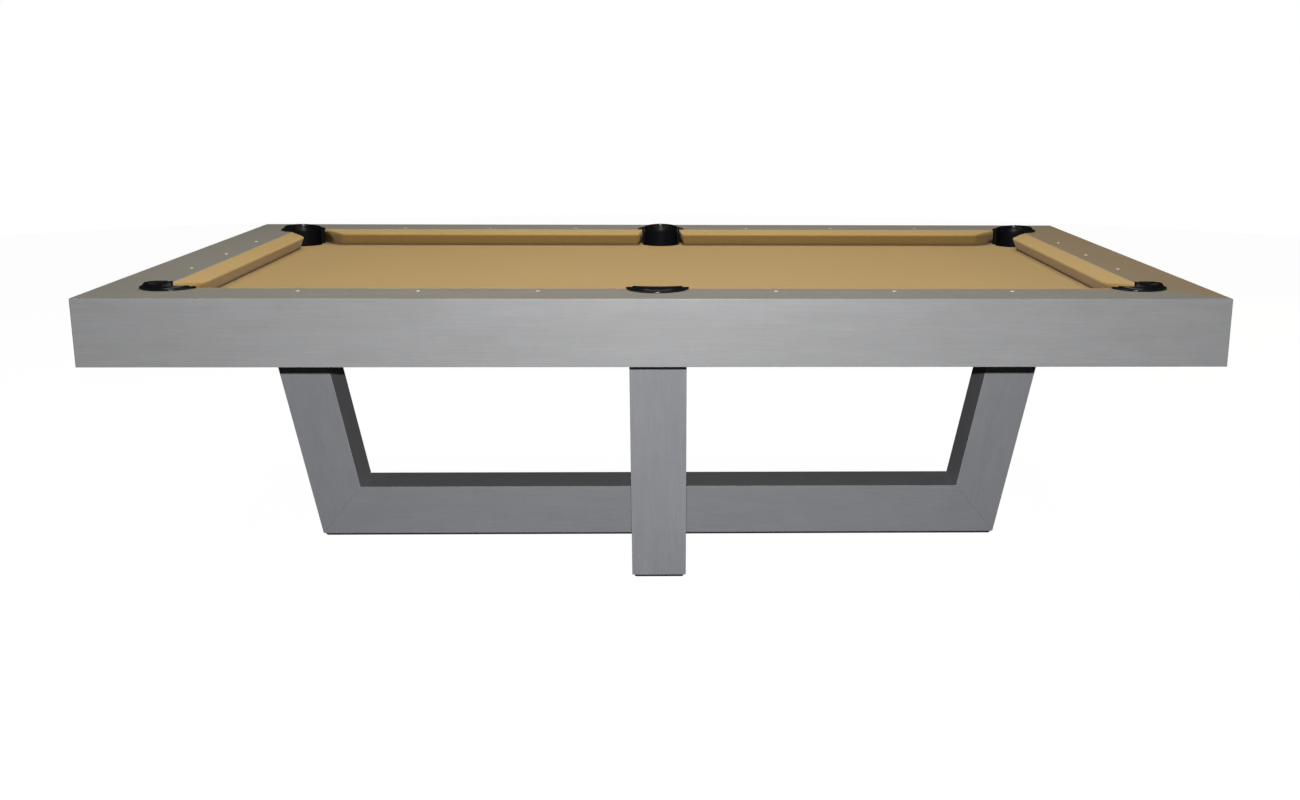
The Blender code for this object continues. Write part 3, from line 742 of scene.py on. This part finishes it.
def make_bed_cloth():
    """The bed's cloth, pulled flat and turned down over the slate's edge at each pocket."""
    form = bmesh.new()
    outer = DROP_RADIUS + CLOTH_THICKNESS + COVER_GAP
    order = ["front_left", "front_side", "front_right", "back_right", "back_side", "back_left"]
    outline = []
    for name in order:
        centre = Vector(POCKETS[name])
        rings = []
        for k in range(6):
            angle = CLOTH_TURN * (1 - k / 5)
            back = DROP_RADIUS - outer * math.sin(angle)
            fall = outer * (1 - math.cos(angle))
            line = notch_line(centre, NOTCH_RADIUS + back)
            rings.append([form.verts.new((p.x, p.y, BED_LEVEL - fall)) for p in line])
        skin(form, rings, closed=False)
        outline += rings[-1][::-1]
    form.faces.new(outline)
    bmesh.ops.recalc_face_normals(form, faces=form.faces)
    if sum(face.normal.z * face.calc_area() for face in form.faces) < 0:
        bmesh.ops.reverse_faces(form, faces=form.faces)
    for i in range(-5, 6):
        everything = form.verts[:] + form.edges[:] + form.faces[:]
        bmesh.ops.bisect_plane(form, geom=everything, plane_co=(i * 0.2, 0, 0), plane_no=(1, 0, 0))
    area = sum(face.calc_area() for face in form.faces)
    cloth = linked("bed_cloth_stretched", form)
    thicken(cloth, CLOTH_THICKNESS)
    finished(cloth, table_cloth("bed_worsted", shade=0.885), smooth=40)
    keep_flats_flat(cloth)
    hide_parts("bed_cloth")


def thicken(piece, thickness):
    solid = piece.modifiers.new("thickness", "SOLIDIFY")
    solid.thickness = thickness
    solid.offset = -1
    solid.use_even_offset = True
    solid.use_quality_normals = True


# Cushions
def cushion_section(inset, tuck):
    """Half round a cushion: (back from the nose line, height) from the joint to the foot."""
    top = Vector((CUSHION_WIDTH, RAIL_TOP))
    shoulder = Vector((SHOULDER_RISE, RAIL_TOP - NOSE_DROP + SHOULDER_RISE))
    foot = Vector((CUSHION_UNDERCUT, BED_LEVEL + COVER_GAP))
    slope = (top - shoulder).normalized()
    up_normal = Vector((-slope.y, slope.x))
    tip = Vector((0, RAIL_TOP - NOSE_DROP))
    under = (tip - Vector((0, SHOULDER_RISE)) - Vector((CUSHION_UNDERCUT, BED_LEVEL))).normalized()
    front_normal = Vector((-under.y, under.x))
    centre_height = RAIL_TOP - NOSE_DROP - NOSE_RADIUS * 0.3
    centre = Vector((NOSE_RADIUS, centre_height))
    top_shift = (top - centre).dot(up_normal) - NOSE_RADIUS
    centre += up_normal * top_shift * 0.5
    centre.x = NOSE_RADIUS
    radius = NOSE_RADIUS - inset
    start = math.atan2(up_normal.y, up_normal.x)
    stop = math.atan2(front_normal.y, front_normal.x)
    if stop < start:
        stop += 2 * math.pi
    points = []
    begin = centre + up_normal * radius
    reach = CUSHION_WIDTH - begin.x
    if tuck:
        for angle in (0, 30, 60):
            turn = math.radians(90 - angle)
            points.append(Vector((CUSHION_WIDTH - TUCK + TUCK * math.sin(turn),
                                  begin.y + reach * slope.y - inset
                                  - TUCK + TUCK * math.cos(turn))))
        for point in points:
            point.y = min(point.y, RAIL_TOP - inset)
    else:
        points.append(begin + slope * (reach / slope.x))
    for share in (0.94, 0.75, 0.5, 0.25, 0.06):
        along = begin + slope * (reach / slope.x) * share
        crown = 0.0005 * math.sin(math.pi * share)
        points.append(along + up_normal * crown)
    for i in range(9):
        angle = start + (stop - start) * i / 8
        points.append(centre + polar(radius, angle).xy)
    last = points[-1]
    foot_height = foot.y + inset
    down = (last.y - foot_height) / under.y
    for share in (0.33, 0.66, 1.0):
        points.append(last - under * down * share)
    return points


def cushion_piece(name, side, start, stop, inset, tuck, closed):
    """Sweeps the section between two leaning facings, with rounded ends."""
    out, nose = SIDES[side][:2]
    along = UP.cross(out)

    def ring(end, depth):
        """The section moved in by depth, near an end given as sign, reach, facing and lean."""
        sign, reach, facing, lean = end
        spread = math.tan(facing - math.pi / 2)
        back = FACING_ROUND - math.sqrt(max(0.0, FACING_ROUND ** 2 - (FACING_ROUND - depth) ** 2))
        points = []
        slant = math.sqrt(1 + spread ** 2 + lean ** 2 / 4)
        for point in cushion_section(inset + depth, tuck):
            fade = 1 - point.x / CUSHION_WIDTH
            draft = lean * fade * (point.y - RAIL_TOP + NOSE_DROP)
            edge = reach + sign * (spread * point.x + draft)
            edge -= sign * (back + inset) * slant
            points.append(out * (nose + point.x) + along * edge + UP * point.y)
        return points

    ends = ((-1, *start), (1, *stop))
    depths = [FACING_ROUND * (1 - math.cos(math.radians(angle))) for angle in (0, 20, 45, 70, 90)]
    first = [ring(ends[0], depth) for depth in reversed(depths)]
    last = [ring(ends[1], depth) for depth in depths]
    middle = [[a.lerp(b, i / 12) for a, b in zip(first[-1], last[0])] for i in range(1, 12)]

    form = bmesh.new()
    rows = [[form.verts.new(point) for point in one] for one in first + middle + last]
    skin(form, rows, closed)
    for row, sense in ((rows[0], 1), (rows[-1], -1)):
        corner = row[0].co.copy()
        corner.z = row[-1].co.z
        if closed:
            form.faces.new(row[::sense])
        else:
            form.faces.new((row + [form.verts.new(corner)])[::sense])
    bmesh.ops.recalc_face_normals(form, faces=form.faces)
    outward = sum((face.calc_center_median() - rows[8][0].co).dot(face.normal) * face.calc_area()
                  for face in form.faces)
    if outward < 0:
        bmesh.ops.reverse_faces(form, faces=form.faces)
    return linked(name, form)


def make_cushions():
    spans = []
    for side, (out, _, run) in SIDES.items():
        corner = run - CORNER_MOUTH_INSET
        left = (-corner, CORNER_FACING, CORNER_DRAFT)
        right = (corner, CORNER_FACING, CORNER_DRAFT)
        if side in ("left", "right"):
            spans.append((side, side, left, right))
            continue
        names = ("left", "right") if UP.cross(out).x > 0 else ("right", "left")
        middle = (SIDE_MOUTH / 2, SIDE_FACING, SIDE_DRAFT)
        spans.append((side + "_" + names[0], side, left, (-middle[0], *middle[1:])))
        spans.append((side + "_" + names[1], side, middle, right))
    # The cushion cloths carry painted shade below the nose.
    along_x = table_cloth("rail_worsted_x", painted_shade_below_nose=True)
    along_y = table_cloth("rail_worsted_y", ALONG_Y, painted_shade_below_nose=True)
    for name, side, start, stop in spans:
        rubber = cushion_piece("rubber_" + name, side, start, stop,
                               CLOTH_THICKNESS + COVER_GAP, False, True)
        finished(rubber, RUBBER)
        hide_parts("cushion_rubber_" + name)
        cloth = cushion_piece("cushion_cover_" + name, side, start, stop, 0.0, True, False)
        thicken(cloth, CLOTH_THICKNESS)
        finished(cloth, along_y if side in ("left", "right") else along_x, smooth=50)
        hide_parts("cushion_cloth_" + name)


# Pockets
def pocket_spots():
    """Each pocket's axis, from the middle of the space for balls in its cup."""
    spots = {}
    for opening in frame["record"]["physics"]["openings"]:
        if opening["name"].startswith("cup_"):
            low, high = opening["box_m"]
            spots[opening["name"][4:]] = ((low[0] + high[0]) / 2, (low[1] + high[1]) / 2)
    return spots


def mouth_line_of(name):
    """Where the lip ends, across the mouth, as local Y from the pocket's axis."""
    if name.endswith("side"):
        return JOINT_Y + FLANGE_LIFT - abs(POCKETS[name][1])
    offset = abs(POCKETS[name][1]) - NOSE_Y
    across = CUSHION_WIDTH - offset
    wall = offset - math.sqrt(CUP_OUTER ** 2 - across ** 2)
    return (wall + CUSHION_WIDTH) / math.sqrt(2) - offset * math.sqrt(2)


def arc(centre, radius, start, end, count):
    angles = [math.radians(start + (end - start) * i / count) for i in range(count + 1)]
    return [(centre[0] + radius * math.cos(a), centre[1] + radius * math.sin(a)) for a in angles]


def lip_profile(rise, flange):
    """The moulding's upper part from the inner wall over the lip to under the flange."""
    crown = CREST_WIDTH / 2
    top = arc((CUP_RADIUS + crown, rise - crown), crown, 180, 20, 9)
    start = Vector(top[-1])
    plate = FLANGE_LIFT + FLANGE_THICKNESS
    foot = CUP_RADIUS + LIP_FOOT
    for i in range(1, 6):
        share = i / 5
        height = plate + (start.y - plate) * (1 - share) ** 2
        top.append((start.x + (foot - start.x) * share, height))
    edge = FLANGE_THICKNESS / 2
    top += [((foot + flange - edge) / 2, plate - 0.0002)]
    top += arc((flange - edge, FLANGE_LIFT + edge), edge, 90, -90, 6)
    top += [(CUP_OUTER + 0.001, FLANGE_LIFT), (CUP_OUTER, FLANGE_LIFT)]
    return top


def make_ear(form, centre, side, toward, facing, joint_end, flange):
    """The moulding's cheek on one jaw: it hides the rail's wood up to the cushion's facing."""
    out, nose = SIDES[side][:2]
    across = Vector((abs(out.y), abs(out.x), 0)) * toward
    wall = (nose + CUSHION_WIDTH) - abs(centre.dot(out))
    cup = math.sqrt(CUP_OUTER ** 2 - wall ** 2) - 0.0015
    spread = math.tan(facing - math.pi / 2)
    reach = abs((joint_end * across - centre).dot(across)) - EAR_GAP
    tip = math.sqrt(flange ** 2 - wall ** 2)
    foot = centre - out * centre.dot(out) + out * (nose + CUSHION_WIDTH)

    def prism(outline, low, high):
        rows = []
        for height, inset in ((low, 0.0), (high - 0.0008, 0.0), (high - 0.0002, 0.0003),
                              (high, 0.0009)):
            middle = sum((Vector(p) for p in outline), Vector((0, 0))) / len(outline)
            row = []
            for point in outline:
                drawn = Vector(point) + (middle - Vector(point)).normalized() * inset
                place = foot + across * drawn.x + out * drawn.y
                row.append(form.verts.new((place.x, place.y, height)))
            rows.append(row)
        form.faces.new(rows[0][::-1])
        form.faces.new(rows[-1])
        skin(form, rows)

    front = -EAR_THICKNESS - EAR_GAP
    cheek = [(cup, -EAR_GAP), (cup, front), (reach + spread * -front, front),
             (reach + spread * EAR_GAP, -EAR_GAP)]
    plate = RAIL_TOP + FLANGE_LIFT + FLANGE_THICKNESS
    prism(cheek, BED_LEVEL + EAR_GAP, plate)
    if not side_pocket(centre):
        rim = []
        for i in range(7):
            depth = TAIL_DEPTH * i / 6
            rim.append((math.sqrt(flange ** 2 - (wall + depth) ** 2) - 0.0003, depth))
        prism([(cup, front + 0.0004), (tip + 0.0002, front + 0.0004)] + rim + [(cup, 0.0008)],
              RAIL_TOP + FLANGE_LIFT, plate)


def side_pocket(centre):
    return abs(centre.x) < 0.1


def make_pocket(name, flange):
    """A moulded cup, low at its mouth, with a flange on the rail and a rising lip."""
    x, y = POCKETS[name]
    turn = math.atan2(math.copysign(1, y), math.copysign(1, x)) - math.pi / 2
    if name.endswith("side"):
        turn = math.pi if y < 0 else 0.0
    place = Matrix.Translation((x, y, RAIL_TOP)) @ Matrix.Rotation(turn, 4, "Z")
    mouth = mouth_line_of(name)
    sill = -RAIL_RISE - SILL_DROP
    form = bmesh.new()
    steps, front_steps = 56, 30
    rows = []

    def at(radius, height, share):
        """A point of the back part: share 0 is the right jaw and 1 the left."""
        start = math.asin(mouth / radius)
        return polar(radius, start + (math.pi - 2 * start) * share, height)

    levels_in = [sill + (JAW_RISE - 0.003 - sill) * i / 4 for i in range(5)]
    for step in range(steps + 1):
        share = step / steps
        ease_out = 0.5 - 0.5 * math.cos(math.pi * min(1, share / 0.02, (1 - share) / 0.02))
        crest = CUP_RADIUS + CREST_WIDTH / 2
        climb = (at(crest, 0, share).y - mouth) / (crest - mouth)
        rise = JAW_RISE + (CREST_RISE - JAW_RISE) * climb
        rise -= 0.0020 * (1 - ease_out)
        row = [at(CUP_RADIUS, level, share) for level in levels_in]
        row += [at(radius, height, share) for radius, height in lip_profile(rise, flange)]
        row += [at(CUP_OUTER, level, share) for level in (-0.012, -0.03, sill)]
        rows.append(row)
    back_rows = [[form.verts.new(place @ point) for point in row] for row in rows]
    skin(form, back_rows, closed=False)
    for row in (back_rows[0], back_rows[-1][::-1]):
        form.faces.new(row)

    start_in, start_out = math.asin(mouth / CUP_RADIUS), math.asin(mouth / CUP_OUTER)
    rim = 0.0016
    front_in, front_out = [], []
    for step in range(1, front_steps):
        share = step / front_steps
        pairs = []
        for radius, start in ((CUP_RADIUS, start_in), (CUP_OUTER, start_out)):
            pairs.append(polar(radius, start - (math.pi + 2 * start) * share, sill))
        front_in.append(form.verts.new(place @ pairs[0]))
        front_out.append(form.verts.new(place @ pairs[1]))
    inner_loop = [row[0] for row in reversed(back_rows)]
    outer_loop = [row[-1] for row in reversed(back_rows)]
    front_inner = [back_rows[0][0]] + front_in + [back_rows[-1][0]]
    front_outer = [back_rows[0][-1]] + front_out + [back_rows[-1][-1]]
    crest = [form.verts.new((one.co + other.co) / 2 + UP * rim)
             for one, other in zip(front_in, front_out)]
    crest = [None] + crest + [None]
    for i in range(len(front_inner) - 1):
        one, other = crest[i:i + 2]
        (inner_a, inner_b), (outer_a, outer_b) = front_inner[i:i + 2], front_outer[i:i + 2]
        if one and other:
            faces = (inner_a, inner_b, other, one), (one, other, outer_b, outer_a)
        else:
            tip = one or other
            side = (tip, inner_b, outer_b) if one else (inner_a, tip, outer_a)
            faces = (inner_a, inner_b, tip), (tip, outer_b, outer_a), side
        for corners in faces:
            form.faces.new(corners)

    full_inner = inner_loop + front_inner[1:-1]
    full_outer = outer_loop + front_outer[1:-1]
    floor = -CUP_DEPTH + CUP_WALL
    inside = [(CUP_RADIUS, -0.08), (CUP_RADIUS, -0.11)]
    inside += arc((CUP_RADIUS - CUP_EDGE, floor + CUP_EDGE), CUP_EDGE, 0, -90, 6)
    inside += [(0.020, floor - 0.0008), (0.014, floor - 0.0012)]
    outside = [(CUP_OUTER, -0.08), (CUP_OUTER, -0.11)]
    outside += arc((CUP_OUTER - CUP_EDGE, -CUP_DEPTH + CUP_EDGE), CUP_EDGE, 0, -90, 6)
    outside += [(0.022, -CUP_DEPTH), (0.018, -CUP_DEPTH + 0.0008)]
    for loop, profile, centre_height in ((full_inner, inside, floor - 0.0012),
                                         (full_outer, outside, -CUP_DEPTH + 0.0008)):
        previous = loop
        for radius, height in profile:
            current = []
            for vertex in loop:
                local = place.inverted() @ vertex.co
                point = polar(radius, math.atan2(local.y, local.x), height)
                current.append(form.verts.new(place @ point))
            skin(form, (previous, current))
            previous = current
        hub = form.verts.new(place @ Vector((0, 0, centre_height)))
        for i in range(len(previous)):
            form.faces.new((previous[i], previous[(i + 1) % len(previous)], hub))
    bmesh.ops.remove_doubles(form, verts=form.verts, dist=0.00001)
    cup_faces = set(form.faces)
    centre = Vector((x, y, 0))
    if name.endswith("side"):
        for toward in (-1, 1):
            end = SIDE_MOUTH / 2 - CUSHION_WIDTH * math.tan(SIDE_FACING - math.pi / 2)
            make_ear(form, centre, name.split("_")[0], toward, SIDE_FACING, end, flange)
    else:
        near_x, near_y = name.split("_")[1], name.split("_")[0]
        slope = CUSHION_WIDTH * math.tan(CORNER_FACING - math.pi / 2) - CORNER_MOUTH_INSET
        make_ear(form, centre, near_y, -math.copysign(1, x), CORNER_FACING,
                 -(NOSE_X + slope), flange)
        make_ear(form, centre, near_x, -math.copysign(1, y), CORNER_FACING,
                 -(NOSE_Y + slope), flange)
    for face in form.faces:
        if face not in cup_faces:
            face.material_index = 1
    bmesh.ops.recalc_face_normals(form, faces=form.faces)
    piece = finished(linked("moulding_" + name, form), (POCKET_LOOK, CHEEK_LOOK),
                     smooth=48)
    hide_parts("pocket_" + name)


# Trim and hardware
def lathe(name, profile, steps, place=(0, 0, 0)):
    """Turns (radius, height) pairs about Z; a radius of 0 closes an end."""
    form = bmesh.new()
    rows = []
    for radius, height in profile:
        if radius < 1e-9:
            rows.append([form.verts.new(Vector(place) + UP * height)] * steps)
            continue
        ring = []
        for i in range(steps):
            point = polar(radius, 2 * math.pi * i / steps, height)
            ring.append(form.verts.new(Vector(place) + point))
        rows.append(ring)
    for one, other in zip(rows, rows[1:]):
        for i in range(steps):
            j = (i + 1) % steps
            corners = []
            for vertex in (one[i], one[j], other[j], other[i]):
                if vertex not in corners:
                    corners.append(vertex)
            if len(corners) > 2:
                form.faces.new(corners)
    bmesh.ops.recalc_face_normals(form, faces=form.faces)
    return linked(name, form)


def sight_places():
    """Eighths of the length along the long rails and quarters of the width on the short."""
    step = NOSE_X / 4
    for side, (out, nose, run) in SIDES.items():
        along = UP.cross(out)
        count = round(run / step)
        for i in range(1 - count, count):
            if i != 0 or side in ("left", "right"):
                yield side, out * (nose + SIGHT_SETBACK) + along * i * step


def make_sights():
    counts = {}
    edge = [(0, -0.0010), (SIGHT_RADIUS, -0.0010), (SIGHT_RADIUS, 0.0001)]
    dome_profile = [(SIGHT_RADIUS * math.cos(a), 0.0001 + SIGHT_DOME * math.sin(a))
                    for a in (math.radians(d) for d in (12, 30, 50, 70))]
    for side, place in sight_places():
        counts[side] = counts.get(side, 0) + 1
        name = "sight_" + side + "_" + str(counts[side])
        place = place + UP * RAIL_TOP
        profile = edge + dome_profile + [(0, 0.0001 + SIGHT_DOME)]
        finished(lathe(name, profile, 40, place), PEARL, smooth=30)


def hex_bolt(form, place, head, height):
    """A chamfered hex head with its washer, hanging below a face at place."""
    washer = head * 1.25
    for radius, low, high, sides in ((washer, 0.0016, 0.0, 32), (head * 0.985, 0.0024, 0.0016, 6),
                                     (head, height, 0.0024, 6)):
        made = bmesh.ops.create_cone(form, cap_ends=True, segments=sides, radius1=radius,
                                     radius2=radius, depth=low - high)
        bmesh.ops.translate(form, vec=place - UP * (low + high) / 2, verts=made["verts"])


def joined_bolts(name, places, head, height):
    form = bmesh.new()
    for place in places:
        hex_bolt(form, place, head, height)
    bevel(form, [edge for edge in form.edges if is_convex(edge, 40)], 0.0005)
    finished(linked(name, form), STEEL)


def make_hardware():
    """Rail bolts under the slate, and angle brackets that hold the aprons to the rails."""
    for side, (out, nose, run) in SIDES.items():
        along = UP.cross(out)
        shares = (-0.80, -0.46, -0.14, 0.14, 0.46, 0.80) if run > 1 else (-0.66, 0.0, 0.66)
        places = [out * (nose + BOLT_SETBACK) + along * run * share + UP * SLATE_UNDERSIDE
                  for share in shares]
        joined_bolts("rail_bolts_" + side, places, BOLT_HEAD, BOLT_HEIGHT)
        form = bmesh.new()
        apron_face = nose + RAIL_WIDTH - (HALF_LENGTH - APRON_INNER_X)
        shares = (-0.62, 0.0, 0.62) if run > 1 else (-0.5, 0.5)
        for share in shares:
            corner = out * (apron_face - 0.0004) + along * run * share
            corner += UP * BED_LEVEL
            bracket(form, corner, out, along)
        bmesh.ops.recalc_face_normals(form, faces=form.faces)
        bevel(form, [edge for edge in form.edges if is_convex(edge, 50)], 0.0004)
        finished(linked("apron_brackets_" + side, form), STEEL)


def bracket(form, corner, out, along):
    """An angle of 2.5 mm steel, 38 mm each way and 40 mm wide, with two pan screws a leg."""
    reach, thick, half = 0.038, 0.0025, 0.020
    outline = [(0, 0), (-reach, 0), (-reach, -thick), (-thick * 1.8, -thick),
               (-thick, -thick * 1.8), (-thick, -reach), (0, -reach)]
    faces = []
    for sign in (-1, 1):
        faces.append([form.verts.new(corner + out * a + UP * b + along * half * sign)
                      for a, b in outline])
    form.faces.new(faces[0])
    form.faces.new(faces[1][::-1])
    skin(form, faces)
    for sign in (-1, 1):
        for a, b, axis in ((-reach * 0.6, -thick, -UP), (-thick, -reach * 0.6, -out)):
            head = bmesh.ops.create_uvsphere(form, u_segments=16, v_segments=8, radius=0.0042)
            squash = Matrix.Scale(0.45, 3, axis)
            bmesh.ops.transform(form, matrix=squash.to_4x4(), verts=head["verts"])
            centre = corner + out * a + UP * b + along * sign * half * 0.5
            bmesh.ops.translate(form, vec=centre, verts=head["verts"])


def make_stud(side, place):
    """A zinc stud with a rolled thread, one start, and a wrench collar."""
    form = bmesh.new()
    steps, rows_per_turn = 24, 8
    low, high = PAD_TOP, STUD_TOP
    count = round((high - low) / THREAD_PITCH * rows_per_turn)
    rows = []
    for k in range(count + 1):
        height = low + (high - low) * k / count
        ring = []
        for i in range(steps):
            phase = (height / THREAD_PITCH - i / steps) % 1.0
            crest = min(1.0, max(0.0, 1.6 - abs(phase - 0.5) * 4.2))
            plain = height < HEX_BASE + HEX_HEIGHT + 0.001
            taper = min(1.0, max(0.0, (high - height) / 0.002))
            radius = STUD_RADIUS if plain else STUD_RADIUS - THREAD_DEPTH * (1 - crest * taper)
            point = polar(radius, 2 * math.pi * i / steps, height)
            ring.append(form.verts.new(Vector(place) + point))
        rows.append(ring)
    skin(form, rows)
    form.faces.new(rows[0][::-1])
    form.faces.new(rows[-1])
    collar = bmesh.ops.create_cone(form, cap_ends=True, segments=6, radius1=HEX_RADIUS,
                                   radius2=HEX_RADIUS, depth=HEX_HEIGHT)
    bmesh.ops.translate(form, vec=Vector(place) + UP * (HEX_BASE + HEX_HEIGHT / 2),
                        verts=collar["verts"])
    edges = [e for v in collar["verts"] for e in v.link_edges]
    bevel(form, list(set(edges)), 0.0006)
    bmesh.ops.recalc_face_normals(form, faces=form.faces)
    piece = finished(linked("threaded_stud_" + side, form), STEEL, "stud_" + side, 40)
    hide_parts("leveler_stud_" + side)


def make_levelers():
    """Swivel pads with a ribbed sole, threaded studs and flanged inserts."""
    for side in ("left", "right", "front", "back"):
        low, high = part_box("leveler_pad_" + side)
        place = ((low.x + high.x) / 2, (low.y + high.y) / 2, 0)
        profile = [(0, PAD_FACE + 0.0008)]
        for groove in (0.006, 0.012, 0.018):
            profile += [(groove, PAD_FACE + 0.0008), (groove + 0.001, PAD_FACE),
                        (groove + 0.0035, PAD_FACE), (groove + 0.0045, PAD_FACE + 0.0008)]
        profile += [(PAD_RADIUS - 0.002, PAD_FACE + 0.0003)]
        profile += arc((PAD_RADIUS - 0.0015, PAD_FACE + 0.0015), 0.0015, -60, 0, 3)
        profile += arc((PAD_RADIUS - 0.003, PAD_TOP - 0.003), 0.003, 0, 80, 5)
        profile += [(BOSS_RADIUS + 0.002, PAD_TOP)]
        profile += arc((BOSS_RADIUS + 0.0015, PAD_TOP + 0.0015), 0.0015, -90, -180, 3)
        profile += arc((BOSS_RADIUS - 0.001, BOSS_TOP - 0.001), 0.001, 0, 90, 3)
        profile += [(STUD_RADIUS + 0.0003, BOSS_TOP), (STUD_RADIUS + 0.0003, PAD_TOP - 0.0003),
                    (0, PAD_TOP - 0.0003)]
        pad = finished(lathe("pad_sole_" + side, profile, 64, place), PAD_LOOK,
                       "pad_" + side)
        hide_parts("leveler_pad_" + side)
        make_stud(side, place)
        insert = cad_form("leveler_insert_" + side)
        ease(insert, 0.0003, is_convex, 2)
        piece = finished(linked("threaded_insert_" + side, insert), STEEL)
        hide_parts("leveler_insert_" + side)


def make_floor_strips():
    for name in ("shoe_long", "shoe_front", "shoe_back"):
        form = cad_form(name)
        ease(form, 0.0006, is_convex, 2)
        piece = finished(linked("strip_" + name, form), STRIP_LOOK)
        keep_flats_flat(piece)
        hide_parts(name)


# Build
make_camera()
make_studio()
POCKETS = pocket_spots()
STEEL = zinc_steel()
SLATE = honed_slate()
RUBBER = gum_rubber()
PEARL = pearl()
POCKET_LOOK = pocket_moulding()
CHEEK_LOOK = soft_black("pocket_cheek", 0.6, 420.0, 0.15, 0.06)
PAD_LOOK = soft_black("pad_rubber", 0.7, 500.0)
STRIP_LOOK = soft_black("floor_strip", 0.55, 300.0)

make_wood()
make_timber()
make_slates()
make_bed_cloth()
make_cushions()
for pocket_name in POCKETS:
    make_pocket(pocket_name, SIDE_FLANGE if pocket_name.endswith("side") else CORNER_FLANGE)
make_sights()
make_hardware()
make_levelers()
make_floor_strips()
